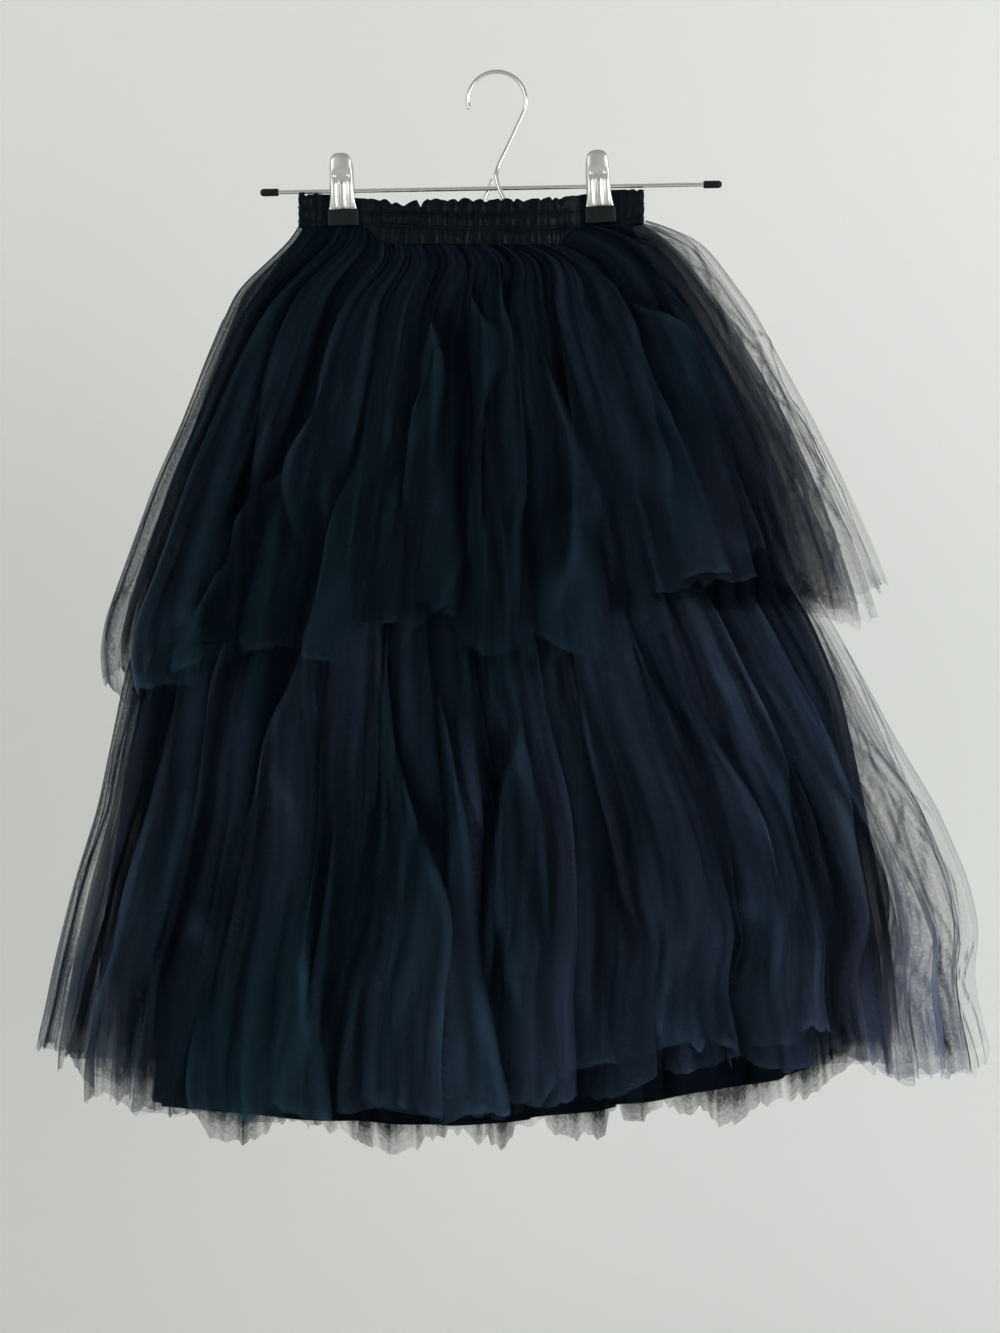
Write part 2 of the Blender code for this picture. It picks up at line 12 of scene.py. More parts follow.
import bmesh
import bpy
import numpy as np
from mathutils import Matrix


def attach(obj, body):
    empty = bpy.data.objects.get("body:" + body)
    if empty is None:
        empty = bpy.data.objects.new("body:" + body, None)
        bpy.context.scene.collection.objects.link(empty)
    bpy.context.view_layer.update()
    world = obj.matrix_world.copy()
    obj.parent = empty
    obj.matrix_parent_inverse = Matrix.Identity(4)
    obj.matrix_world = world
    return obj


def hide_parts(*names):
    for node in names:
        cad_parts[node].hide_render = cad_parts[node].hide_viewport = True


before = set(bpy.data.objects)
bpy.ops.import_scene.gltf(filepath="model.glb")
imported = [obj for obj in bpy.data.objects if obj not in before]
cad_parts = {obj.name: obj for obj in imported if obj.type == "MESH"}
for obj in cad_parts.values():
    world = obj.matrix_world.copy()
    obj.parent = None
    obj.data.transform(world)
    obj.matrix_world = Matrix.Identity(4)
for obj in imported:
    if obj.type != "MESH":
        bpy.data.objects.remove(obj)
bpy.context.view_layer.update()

MM = 0.001

Section = namedtuple("Section", "drop left right front back")
Fold = namedtuple("Fold", "share depth lean")
Crease = namedtuple("Crease", "start end share_start share_end width rise")
Gather = namedtuple("Gather", "count top middle hem roll seed")
Tier = namedtuple("Tier", "sections rows columns top_dip hem_dip gathers ragged seed flat")
Pleat = namedtuple("Pleat", "side reach rise lap line")
Patch = namedtuple("Patch", "share down wide long plies")
Half = namedtuple("Half", "hem plies folds creases pleats webs patches", defaults=((),) * 4)
# A layer's light is its (left, right, hem) gains on the painted light: lower on inner and under plies as
# painted shade
Layer = namedtuple("Layer", "name tier seam light tint front back nodes")
Puckers = namedtuple("Puckers", "count width depth slant seed strength")
Clip = namedtuple("Clip", "side place lean hang")
JawRow = namedtuple("JawRow", "height half_width stand flange")


def table_of(kind, *rows):
    """A table with named columns: each row of numbers as one of its kind."""
    return tuple(kind(*row) for row in rows)


# Plan of every tier, as in the solids
PLAN_STEPS = 360
PLAN_LEVELS = 120
FLAT_FULLNESS = 0.45
FULL_FULLNESS = 0.8
FULL_DEPTH = 40.0
HALVES_APART = 0.25

# How the meshes' rows crowd at the seam and their columns at the sides, and the back's share of columns
ROW_CROWDING = 1.25
SIDE_CROWDING = 0.25
BACK_COLUMNS = 0.45
BAND_ROWS = (15, 15, 14)
BAND_COLUMNS = 520
BAND_CUT = (0.72, 0.034)

# Folds lie calmer beside the side seams, by share, and lean by this much of their table's number
CALM_SIDES = ((0, 0.22), (0.07, 0.28), (0.15, 1), (0.85, 1), (0.92, 0.28), (1, 0.22))
FOLD_LEAN = 1.9
# Cut net starts up to this much above its seam, and its edge waves by a share of its raggedness as well.
# The lining's stitches lie this far above its edge.
SEAM_LAP = 2.4
HEM_WAVE = 0.45
HEM_TURN = 9.0

# A panel's edge: the short tuck beyond it, how deep all of the cloth between edges settles, and the painted
# light and shade on it as strength, place and width across: a thin painted highlight line, a broad soft
# one, and the painted shade beyond
PLEAT_TUCK = 5.5
PLEAT_SETTLE = 2.5
PLEAT_PAINTED_LIGHTS = ((1.15, -1.6, 1.9), (0.3, -9, 8), (-0.8, 8, 8))
# Painted highlight lines down the net: their width, their painted light, and a tier's columns to one line
FINE_LINE_WIDTH = 0.095
FINE_LINE_PAINTED_LIGHT = 0.6
FINE_LINE_COLUMNS = 20

UPPER_TULLE = Tier(
    sections=table_of(
        Section, (112, -150.4, 112.4, 9.8, 9.8), (123, -156, 150, 16, 13), (143, -178, 168, 30, 20),
        (160, -197, 180, 38, 27), (180, -206, 195, 46, 34), (225, -225, 219, 59, 44),
        (263, -240, 240, 70, 51), (305, -259, 261, 81, 58), (360, -279, 286, 94, 66),
        (410, -297, 305, 104, 73), (435, -301, 312, 108, 76), (480, -296, 318, 113, 80),
    ),
    rows=84, columns=780, top_dip=1.5, hem_dip=18,
    gathers=table_of(
        Gather, (74, 2.1, 0.35, 0, 0.7, 1), (37, 1.5, 1.5, 0.9, 0.8, 2.3), (51, 0, 0.3, 3, 0.6, 4.1),
    ),
    ragged=7.5, seed=3, flat=(1.75, 0.33),
)
UPPER_UNDER_TULLE = Tier(
    sections=table_of(
        Section, (112, -147, 109, 6.6, 6.6), (123, -151, 128, 12, 9.5), (143, -169, 146, 22, 15),
        (180, -195, 173, 36, 26), (225, -214, 200, 48, 36), (263, -229, 221, 58, 42),
        (305, -247, 240, 67, 48), (348, -262, 257, 75, 53), (396, -279, 272, 84, 59),
        (446, -290, 283, 91, 63),
    ),
    rows=48, columns=300, top_dip=1, hem_dip=11,
    gathers=table_of(
        Gather, (60, 1, 0.5, 0, 0.6, 5.2), (29, 0.8, 2.2, 2.6, 0.8, 3.9),
    ),
    ragged=5, seed=11, flat=(1.3, 0.29),
)
LINING = Tier(
    sections=table_of(
        Section, (112, -140.5, 102.5, 3, 3), (160, -158, 121, 13, 10), (225, -176, 142, 24, 16),
        (308, -195, 165, 33, 22), (500, -228, 203, 40, 28), (790, -264, 244, 47, 33),
    ),
    rows=70, columns=180, top_dip=0.5, hem_dip=7, gathers=table_of(Gather, (17, 0.5, 0.7, 1, 0.4, 0.7)),
    ragged=0, seed=0, flat=(0.9, 0.65),
)
LOWER_TULLE = Tier(
    sections=table_of(
        Section, (308, -198.6, 168.6, 37.2, 26.1), (340, -226, 202, 50, 36), (380, -250, 230, 60, 42),
        (414, -267, 252, 67, 47), (455, -282, 275, 75, 52), (505, -292, 302, 84, 58),
        (558, -303, 334, 95, 64), (611, -320, 357, 105, 70), (650, -330, 366, 111, 74),
        (680, -337, 361, 115, 76), (711, -343, 366, 118, 78), (740, -350, 374, 121, 80),
        (800, -352, 378, 125, 83),
    ),
    rows=86, columns=780, top_dip=1.5, hem_dip=22,
    gathers=table_of(
        Gather, (79, 1.9, 0.35, 0, 0.7, 2.6), (43, 1.4, 1.4, 1, 0.8, 0.4), (57, 0, 0.4, 3.4, 0.6, 1.9),
    ),
    ragged=9, seed=7, flat=(2.1, 0.45),
)
LOWER_UNDER_TULLE = Tier(
    sections=table_of(
        Section, (308, -195.7, 165.7, 34, 22.9), (340, -216, 190, 43, 31), (414, -255, 238, 58, 41),
        (467, -269, 260, 66, 46), (530, -281, 274, 74, 50), (655, -300, 298, 84, 56),
        (800, -306, 312, 90, 60),
    ),
    rows=56, columns=320, top_dip=1.1, hem_dip=12,
    gathers=table_of(
        Gather, (64, 1, 0.5, 0, 0.6, 4.6), (33, 0.8, 2.4, 3.2, 0.8, 1.2),
    ),
    ragged=11, seed=19, flat=(1.55, 0.48),
)

# The inner ply of each tier hangs inside the outer one, closer at the waist than at the hem
INNER_SIDE_SPACE = (4, 19)
INNER_DEPTH_SPACE = (1.8, 6)
UPPER_INNER_TULLE = Tier(
    sections=(), rows=60, columns=420, top_dip=1.2, hem_dip=15,
    gathers=table_of(
        Gather, (66, 1.2, 0.4, 0, 0.7, 7.7), (31, 0.9, 2.4, 2.4, 0.8, 6.1), (47, 0, 0.5, 3, 0.6, 2.2),
    ),
    ragged=6, seed=23, flat=(1.55, 0.32),
)
LOWER_INNER_TULLE = Tier(
    sections=(), rows=64, columns=390, top_dip=1.2, hem_dip=18,
    gathers=table_of(
        Gather, (71, 1.2, 0.4, 0, 0.7, 3.3), (37, 0.9, 2.5, 2.6, 0.8, 9.1), (53, 0, 0.6, 3.6, 0.6, 5.9),
    ),
    ragged=8, seed=31, flat=(1.85, 0.46),
)

# The folds of the front, crest by crest from the left side seam. A fold leans over the valley
# beside it, to the left where its lean is below zero.
UPPER_FRONT_FOLDS = table_of(
    Fold, (0, 0.7, 0), (0.064, 0.8, -5), (0.125, 1, 8), (0.19, 0.9, -9), (0.242, 0.7, -12),
    (0.283, 0.9, 6), (0.34, 1, -10), (0.412, 1, 9), (0.472, 0.6, 12), (0.512, 1, -8), (0.593, 0.9, -13),
    (0.647, 0.8, 7), (0.702, 1, 12), (0.773, 0.9, 8), (0.842, 0.9, 13), (0.92, 0.8, 5), (1, 0.7, 0),
)
LOWER_FRONT_FOLDS = table_of(
    Fold, (0, 0.8, 0), (0.071, 0.7, -5), (0.11, 0.6, -8), (0.149, 0.8, -10), (0.204, 0.9, -14),
    (0.258, 1, 8), (0.333, 0.9, -12), (0.39, 0.8, 12), (0.442, 1, 13), (0.517, 0.9, -8),
    (0.578, 0.8, -12), (0.635, 0.9, 9), (0.693, 1, 15), (0.77, 0.8, 10), (0.82, 0.8, 13), (0.884, 1, 8),
    (1, 0.8, 0),
)

# Troughs that start or end on the way down, each with its place, width and depth
UPPER_FRONT_CREASES = table_of(
    Crease, (0, 0.5, 0.308, 0.315, 9, -6), (0.3, 1.1, 0.487, 0.492, 10, -15),
    (0.25, 1.1, 0.575, 0.557, 9, -12), (0, 0.45, 0.395, 0.36, 8, -5), (0.5, 1.1, 0.285, 0.276, 9, -10),
    (0, 0.35, 0.63, 0.61, 8, -5),
)
LOWER_FRONT_CREASES = table_of(
    Crease, (0.2, 1.1, 0.5, 0.476, 13, -17), (0.1, 0.7, 0.56, 0.548, 10, -11),
    (0, 0.5, 0.205, 0.195, 10, -8), (0, 0.4, 0.43, 0.42, 11, -9), (0.6, 1.1, 0.575, 0.59, 9, -10),
    (0, 0.5, 0.73, 0.74, 10, -8),
)
UPPER_BACK_CREASES = table_of(
    Crease, (0, 0.6, 0.38, 0.4, 10, -7), (0.3, 1.1, 0.61, 0.59, 10, -12), (0.1, 0.8, 0.22, 0.21, 9, -8),
    (0, 0.5, 0.76, 0.78, 9, -6),
)
LOWER_BACK_CREASES = table_of(
    Crease, (0.3, 1.1, 0.35, 0.33, 12, -14), (0.2, 0.9, 0.56, 0.55, 10, -11),
    (0, 0.6, 0.19, 0.205, 10, -9), (0.5, 1.1, 0.74, 0.725, 11, -12),
)

# The edges of the smooth panels, each with the side that it faces (1 right, -1 left), how far its panel
# reaches, how high it rises, how far it laps over the cloth beside it, and its line of (share, way down)
UPPER_FRONT_PLEATS = table_of(
    Pleat, (-1, 38, 7, 9, ((0.252, 0.02), (0.247, 0.31), (0.25, 0.47), (0.261, 0.8))),
    (1, 36, 9, 10, ((0.425, 0.02), (0.455, 0.14), (0.48, 0.26), (0.463, 0.47), (0.467, 0.71), (0.468, 1.1))),
    (-1, 30, 10, 13, ((0.264, 0.38), (0.247, 0.54), (0.218, 0.71), (0.192, 0.87), (0.178, 1.1))),
    (1, 44, 9, 12, ((0.69, 0), (0.715, 0.12), (0.761, 0.23), (0.794, 0.32), (0.807, 0.44), (0.825, 0.75))),
    (1, 24, 6, 8, ((0.695, 0.05), (0.717, 0.27), (0.713, 0.47), (0.72, 0.59), (0.735, 1.1))),
    (-1, 28, 7, 8, ((0.545, 0.05), (0.577, 0.35), (0.568, 0.6), (0.553, 1.1))),
    (1, 18, 4, 6, ((0.35, 0), (0.405, 0.3), (0.407, 0.52), (0.419, 0.8))),
    (-1, 24, 5, 7, ((0.182, 0.02), (0.171, 0.22), (0.192, 0.52), (0.212, 0.8))),
    (-1, 24, 5, 7, ((0.645, 0), (0.625, 0.4), (0.577, 0.95))),
    (1, 22, 5, 7, ((0.505, 0), (0.525, 0.2), (0.53, 0.5), (0.52, 0.75))),
    (1, 26, 6, 9, ((0.755, 0), (0.82, 0.2), (0.868, 0.45), (0.885, 0.8))),
    (-1, 26, 6, 9, ((0.14, 0), (0.118, 0.3), (0.112, 0.6), (0.105, 1.1))),
    (-1, 14, 4, 6, ((0.33, 0.5), (0.322, 0.75), (0.326, 1.1))),
)
LOWER_FRONT_PLEATS = table_of(
    Pleat, (1, 32, 9, 11, ((0.662, 0), (0.667, 0.26), (0.679, 0.45), (0.677, 0.75), (0.69, 1.1))),
    (-1, 28, 7, 8, ((0.62, 0.08), (0.612, 0.33), (0.604, 0.47), (0.6, 0.61), (0.613, 0.85))),
    (-1, 12, 4, 6, ((0.54, 0.3), (0.53, 0.39), (0.498, 0.59), (0.516, 0.9))),
    (-1, 12, 4, 6, ((0.505, 0.3), (0.495, 0.43), (0.459, 0.6), (0.452, 0.85))),
    (1, 34, 7, 9, ((0.33, 0), (0.361, 0.39), (0.39, 0.59), (0.404, 0.75), (0.41, 1.1))),
    (1, 20, 7, 8, ((0.415, 0.2), (0.435, 0.51), (0.446, 0.75), (0.464, 1.1))),
    (-1, 25, 6, 8, ((0.19, 0.1), (0.182, 0.47), (0.175, 0.67), (0.158, 1))),
    (-1, 44, 10, 11, ((0.29, 0.1), (0.27, 0.3), (0.243, 0.45), (0.226, 0.62), (0.228, 0.8), (0.22, 1.1))),
    (1, 20, 4, 6, ((0.309, 0.45), (0.314, 0.68), (0.325, 0.83), (0.345, 1.1))),
    (1, 32, 8, 10, ((0.835, 0.02), (0.854, 0.27), (0.843, 0.39), (0.831, 0.5), (0.818, 0.64), (0.81, 0.9))),
    (1, 24, 6, 8, ((0.786, 0.05), (0.783, 0.44), (0.779, 0.52), (0.766, 0.66), (0.77, 1.1))),
    (1, 18, 6, 7, ((0.7, 0.35), (0.715, 0.6), (0.724, 0.85), (0.72, 1.1))),
    (-1, 20, 5, 8, ((0.14, 0.15), (0.122, 0.5), (0.116, 0.8), (0.12, 1.1))),
    (1, 22, 6, 8, ((0.865, 0.3), (0.872, 0.6), (0.884, 0.8), (0.88, 1.1))),
)

# Where each hem ends, by share of the way round from the left side seam
UPPER_FRONT_HEM = (
    (0, 458), (0.08, 472), (0.114, 470), (0.16, 460), (0.19, 453), (0.279, 434), (0.33, 441),
    (0.395, 449), (0.415, 413), (0.437, 399), (0.455, 434), (0.5, 442), (0.55, 440), (0.562, 416),
    (0.596, 439), (0.648, 431), (0.7, 383), (0.8, 364), (0.86, 388), (0.95, 394), (1, 382),
)
UPPER_BACK_HEM = (
    (0, 458), (0.12, 447), (0.21, 461), (0.3, 438), (0.41, 452), (0.47, 426), (0.58, 446), (0.67, 424),
    (0.76, 435), (0.88, 402), (1, 382),
)
UPPER_UNDER_HEM = (
    (0, 440), (0.2, 431), (0.36, 418), (0.42, 398), (0.48, 400), (0.55, 416), (0.7, 404), (0.85, 408),
    (1, 419),
)
LOWER_FRONT_HEM = (
    (0, 740), (0.053, 736), (0.117, 743), (0.15, 757), (0.2, 778), (0.25, 770), (0.48, 770),
    (0.56, 746), (0.66, 722), (0.69, 734), (0.72, 714), (0.8, 702), (0.825, 738), (0.845, 752),
    (0.92, 748), (1, 735),
)
LOWER_BACK_HEM = (
    (0, 740), (0.1, 752), (0.24, 766), (0.38, 757), (0.52, 768), (0.66, 754), (0.78, 763), (0.9, 746),
    (1, 735),
)
LOWER_UNDER_HEM = (
    (0, 752), (0.12, 776), (0.25, 789), (0.5, 795), (0.62, 778), (0.75, 772), (0.88, 752), (1, 738),
)
LINING_HEM = ((0, 777), (0.24, 786), (0.45, 790), (0.6, 784), (0.8, 768), (1, 751))
UPPER_INNER_FRONT_HEM = (
    (0, 440), (0.06, 454), (0.12, 436), (0.2, 428), (0.3, 438), (0.36, 422), (0.42, 404), (0.47, 428),
    (0.53, 444), (0.6, 428), (0.66, 412), (0.73, 396), (0.8, 386), (0.88, 402), (0.94, 418), (1, 404),
)
UPPER_INNER_BACK_HEM = (
    (0, 440), (0.1, 452), (0.2, 434), (0.32, 446), (0.44, 420), (0.55, 436), (0.68, 412), (0.8, 425),
    (0.9, 398), (1, 404),
)
LOWER_INNER_FRONT_HEM = (
    (0, 752), (0.05, 744), (0.1, 760), (0.16, 774), (0.22, 764), (0.3, 776), (0.4, 762), (0.5, 768),
    (0.58, 752), (0.66, 742), (0.74, 734), (0.8, 728), (0.86, 756), (0.9, 742), (0.95, 754), (1, 745),
)
LOWER_INNER_BACK_HEM = (
    (0, 752), (0.12, 764), (0.25, 755), (0.36, 772), (0.5, 760), (0.63, 771), (0.76, 756), (0.88, 762),
    (1, 745),
)

# The waist's lines, by place along X
HEADING_TOP = (
    (-150, 91.9), (-127, 92.3), (-106, 95), (-88.6, 95.8), (-73.5, 100.5), (-60.5, 97.8),
    (-57.5, 101.5), (-53, 97.2), (32.6, 97), (63.6, 92.6), (88, 88.7), (111, 88.6),
)
UPPER_STITCHES = ((-150, 101.2), (-100, 105), (-30, 107.6), (40, 106), (111, 98))
LOWER_STITCHES = ((-150, 111.6), (-100, 114.4), (-30, 119), (40, 118), (111, 108.6))
WAIST_SEAM = (
    (-150, 116), (-133, 118), (-101, 118.4), (-88, 130.5), (48, 131), (62, 117.6), (94, 116.8),
    (111, 113.5),
)
LOWER_SEAM = ((0, 308),)

# Waistband: how far the clips let it stand from its middle plane, and the depths of its gathers
WAIST_LEFT = -150.0
WAIST_RIGHT = 111.0
WAIST_DEPTH = 9.5
BAND_THICKNESS = 0.9
PINCHED = 1.05
PINCH = (
    (-150, 6), (-132, PINCHED), (-102, PINCHED), (-80, 7), (-50, 10), (30, 10), (45, 7), (63, PINCHED),
    (93, PINCHED), (111, 5),
)
HEADING_PUCKERS = Puckers(27, 1.7, 2.3, 0.4, 5, ((0.0, 1.0), (0.8, 0.85), (1.0, 0.6), (1.5, 0.3), (3.0, 0.0)))
CASING_PUCKERS = Puckers(43, 1.25, 1.7, 0.7, 8, ((0.5, 0.0), (1.0, 0.75), (1.5, 1.0), (2.0, 0.7), (2.5, 0.0)))
STRIP_PUCKERS = Puckers(62, 1.0, 1.0, 3.2, 13, ((1.5, 0.0), (2.0, 0.7), (2.5, 1.0), (3.0, 0.7)))
# The dip along the stitch lines, the depth that gathers don't pass, a stitch's rings and sides, the
# heading's slow ruffle, and how far the band puffs out, by its way down
STITCH_DIP = 0.85
DEEPEST_PUCKER = 3.4
STITCH_RINGS = 6
HEADING_RUFFLE = 0.9
BAND_PUFF = ((0, 0), (0.45, 0.7), (1, 0), (1.5, 1.2), (2, 0), (2.5, 0.8), (3, -0.2))

# Hanger, as in the solids
WIRE_RADIUS = 1.6
BAR_LEFT_TIP = (-179.5, 0, -90.2)
BAR_RIGHT_TIP = (170.5, 0, -83.8)
BAR_INSET = 2.3
HOOK_RADIUS = 22.0
HOOK_OPENING_TURN = 195.0
HOOK_SHANK_TURN = -25.0
HOOK_SHANK = (
    (9.5, 0, -52.3), (4.3, -0.6, -63), (0.8, -1.8, -71), (-0.5, -3, -77), (0.2, -3.5, -82.5),
    (2.2, -3.5, -89), (5.7, -3.5, -96.5), (7.6, -3, -101.5), (6.9, -1.6, -106), (2.6, -0.4, -109.2),
    (-3.4, 0.6, -109.4), (-8.6, 1.9, -106.2), (-10.6, 3, -101), (-9.6, 3.5, -95.5), (-6.4, 3.5, -87),
    (-3.8, 3.5, -80.3),
)
# A dipped cap's outline: radius, and height from its round end, then its bore
CAP_OUTLINE = (
    (0, 0), (0.9, -0.1), (1.8, -0.5), (2.5, -1.3), (2.82, -2.4), (2.9, -4), (2.84, -8), (2.88, -12.6),
    (2.8, -13.5), (2.45, -14), (1.9, -13.9), (1.85, -12.5), (1.8, -4), (0, -3.8),
)

# Clips: each one's place on the bar, lean and hang, then its jaw from the top down
CLIPS = table_of(Clip, ("left", -117.2, -2.3, 0), ("right", 76.9, -3.7, -1.2))
JAW_ROWS = table_of(
    JawRow, (27.4, 1.5, 8, 1), (26.6, 4.6, 9, 2), (24.6, 6.8, 9.6, 2.6), (21.5, 8, 9.8, 3),
    (16, 8.3, 9.3, 3.4), (9, 8.6, 8.5, 4.5), (2, 8.9, 7.8, 5.3), (-4, 9.1, 6.9, 4.6), (-9, 9.6, 5.6, 3),
    (-14.2, 10.4, 4.1, 1.2), (-17, 10.6, 4.2, 0.9),
)
# Steps across a jaw: the share of its half width, and the share of its flange that is turned in
JAW_STEPS = ((-1, 1), (-1, 0.35), (-0.86, 0), (-0.4, 0), (0, 0), (0.4, 0), (0.86, 0), (1, 0.35), (1, 1))
JAW_THICKNESS = 0.8
# A dipped pad: its middle, the power that rounds its corners, and from the top down its height, half
# width and half depth
PAD_MIDDLE = 4.55
PAD_CORNER = 2 / 5
PAD_ROWS = (
    (-14.6, 9.6, 1), (-14.75, 10.9, 1.65), (-15.2, 11.45, 2), (-16.5, 11.6, 2.12), (-20, 11.68, 2.16),
    (-24.2, 11.72, 2.1), (-25.3, 11.7, 2.05), (-26, 11.66, 2.2), (-26.8, 11.4, 2.1),
    (-27.25, 10.8, 1.6), (-27.4, 9.6, 0.8), (-27.42, 0, 0),
)
SPRING_COIL = 2.9
SPRING_WIRE = 0.42
SPRING_LENGTH = 14.4
SPRING_TURNS = 9


# The dark crossing creases of the clear net at the sides, each a line of (share, way down)
UPPER_RIGHT_WEB = (
    ((0.996, 0), (0.97, 0.02), (0.925, 0.05)), ((0.995, 0.01), (0.974, 0.05), (0.936, 0.12)),
    ((0.974, 0), (0.917, 0.06), (0.914, 0.11), (0.948, 0.16), (0.938, 0.25), (0.945, 0.3), (0.992, 0.32)),
    ((0.912, 0.07), (0.911, 0.15), (0.903, 0.24), (0.922, 0.29), (0.905, 0.36), (0.887, 0.42), (0.886, 0.46)),
    ((0.911, 0.09), (0.896, 0.19), (0.901, 0.25), (0.914, 0.3), (0.891, 0.43)),
    ((0.895, 0.21), (0.88, 0.36), (0.886, 0.44), (0.885, 0.5), (0.896, 0.53)),
    ((0.992, 0.33), (0.972, 0.37), (0.946, 0.47), (0.963, 0.54), (0.942, 0.63), (0.925, 0.7), (0.9, 0.76)),
    ((0.901, 0.43), (0.921, 0.49), (0.942, 0.55), (0.937, 0.65), (0.903, 0.74)),
    ((0.852, 0.48), (0.854, 0.58), (0.871, 0.61), (0.887, 0.67), (0.879, 0.78), (0.894, 0.84), (0.91, 0.87)),
    ((0.879, 0.49), (0.884, 0.64), (0.888, 0.72), (0.885, 0.81), (0.879, 0.91)),
    ((0.915, 0.5), (0.905, 0.62), (0.898, 0.7), (0.91, 0.83), (0.89, 0.95)),
    ((0.96, 0.6), (0.972, 0.75), (0.955, 0.9), (0.968, 1)),
)
UPPER_LEFT_WEB = (
    ((0.018, 0.83), (0.05, 0.8), (0.096, 0.78)), ((0.059, 0.9), (0.084, 0.95), (0.063, 1)),
    ((0.096, 0.78), (0.081, 0.86), (0.089, 0.98)),
    ((0.008, 0.21), (0.02, 0.38), (0.026, 0.58), (0.018, 0.77), (0.03, 1)),
    ((0.03, 0.1), (0.04, 0.3), (0.034, 0.5), (0.05, 0.68), (0.044, 0.9)),
    ((0.06, 0.12), (0.064, 0.35), (0.07, 0.62), (0.062, 0.8)),
)
LOWER_RIGHT_WEB = (
    ((0.953, 0.25), (0.911, 0.39), (0.902, 0.49), (0.897, 0.57), (0.918, 0.61), (0.923, 0.66)),
    ((0.971, 0.34), (0.954, 0.45), (0.933, 0.51), (0.95, 0.54), (0.962, 0.57)),
    ((0.985, 0.3), (0.972, 0.42), (0.95, 0.52)),
    ((0.918, 0.4), (0.917, 0.48), (0.923, 0.52), (0.945, 0.58), (0.94, 0.68)),
    ((0.897, 0.56), (0.892, 0.62), (0.891, 0.7), (0.905, 0.78), (0.926, 0.84), (0.938, 0.92), (0.93, 1)),
    ((0.91, 0.68), (0.913, 0.74), (0.923, 0.78), (0.938, 0.82)),
    ((0.877, 0.66), (0.889, 0.71), (0.892, 0.78), (0.92, 0.85), (0.93, 0.9)),
    ((0.884, 0.47), (0.851, 0.59), (0.848, 0.67), (0.863, 0.7), (0.89, 0.78), (0.9, 0.86)),
    ((0.841, 0.61), (0.845, 0.68), (0.858, 0.78), (0.884, 0.87), (0.897, 0.96)),
    ((0.837, 0.57), (0.835, 0.69), (0.851, 0.79), (0.869, 0.87), (0.875, 0.94)),
    ((0.97, 0.8), (0.939, 0.84), (0.924, 0.89), (0.912, 0.93)),
    ((0.932, 0.86), (0.95, 0.91), (0.957, 1)), ((0.97, 0.8), (0.955, 0.86), (0.972, 0.92), (0.965, 1)),
    ((0.828, 0.71), (0.829, 0.79), (0.844, 0.86)),
)
LOWER_LEFT_WEB = (
    ((0.074, 0.36), (0.051, 0.49), (0.026, 0.7), (0.05, 0.85), (0.056, 1)),
    ((0.081, 0.43), (0.061, 0.57), (0.052, 0.71), (0.06, 0.88)),
    ((0.088, 0.53), (0.079, 0.62), (0.082, 0.69), (0.096, 0.79)),
    ((0.1, 0.69), (0.09, 0.75), (0.065, 0.87), (0.07, 1)),
    ((0.028, 0.47), (0.033, 0.58), (0.037, 0.73), (0.047, 0.84)),
    ((0.04, 0.2), (0.03, 0.4), (0.018, 0.6), (0.022, 0.8)),
    ((0.11, 0.5), (0.1, 0.62), (0.115, 0.78), (0.108, 0.95)),
)
UPPER_BACK_WEB = (
    ((0.97, 0.05), (0.93, 0.2), (0.955, 0.35), (0.93, 0.55), (0.95, 0.75)),
    ((0.93, 0.2), (0.9, 0.4), (0.915, 0.6), (0.9, 0.85)), ((0.95, 0.35), (0.975, 0.55), (0.96, 0.8)),
    ((0.04, 0.15), (0.06, 0.4), (0.05, 0.65), (0.07, 0.9)),
)
LOWER_BACK_WEB = (
    ((0.96, 0.2), (0.93, 0.4), (0.95, 0.55), (0.92, 0.7), (0.94, 0.9)),
    ((0.93, 0.4), (0.9, 0.55), (0.91, 0.75), (0.89, 0.95)), ((0.95, 0.55), (0.975, 0.7), (0.96, 0.88)),
    ((0.05, 0.3), (0.03, 0.5), (0.055, 0.7), (0.045, 0.95)),
)
WEB_WIDTH = 1.1
WEB_PLIES = 2.3
WEB_RISE = 1.2

# Where the cut edges of many plies lie together, each a soft spot with its middle, size and plies
UPPER_PATCHES = table_of(
    Patch, (0.1, 0.9, 0.02, 0.08, 1.4), (0.07, 0.97, 0.012, 0.03, 1.2), (0.9, 0.93, 0.02, 0.06, 1.2),
    (0.935, 0.98, 0.012, 0.03, 1),
)
LOWER_PATCHES = table_of(
    Patch, (0.055, 0.86, 0.03, 0.07, 2.6), (0.095, 0.93, 0.025, 0.06, 2.4),
    (0.03, 0.93, 0.012, 0.04, 1.2), (0.12, 0.8, 0.02, 0.12, 1.6), (0.895, 0.9, 0.025, 0.08, 2.2),
    (0.925, 0.94, 0.015, 0.04, 1.4), (0.87, 0.75, 0.015, 0.1, 1.2),
)

# How much cloth lies in one place, counted in plies of net, by share and by the way down
UPPER_OUTER_PLIES = (
    (0, 1.2), (0.03, 1.5), (0.06, 1.7), (0.1, 1.4), (0.14, 0.9), (0.8, 0.8), (0.86, 0.8), (0.91, 0.4),
    (1, 0.28),
)
LOWER_OUTER_PLIES = (
    (0, 1.3), (0.03, 1.6), (0.06, 1.9), (0.09, 1.6), (0.14, 1), (0.8, 0.8), (0.85, 0.8), (0.9, 0.4),
    (1, 0.25),
)
UPPER_INNER_PLIES = ((0, 1), (0.05, 1.4), (0.1, 1.5), (0.86, 1.4), (0.91, 0.8), (0.95, 0.3), (1, 0.15))
LOWER_INNER_PLIES = (
    (0, 1.1), (0.05, 1.7), (0.1, 1.7), (0.84, 1.4), (0.91, 0.9), (0.95, 0.3), (1, 0.15),
)
UPPER_UNDER_PLIES = (
    (0, 1.2), (0.04, 2.4), (0.085, 6), (0.13, 9), (0.87, 9), (0.9, 5.5), (0.925, 2.4), (1, 0.6),
)
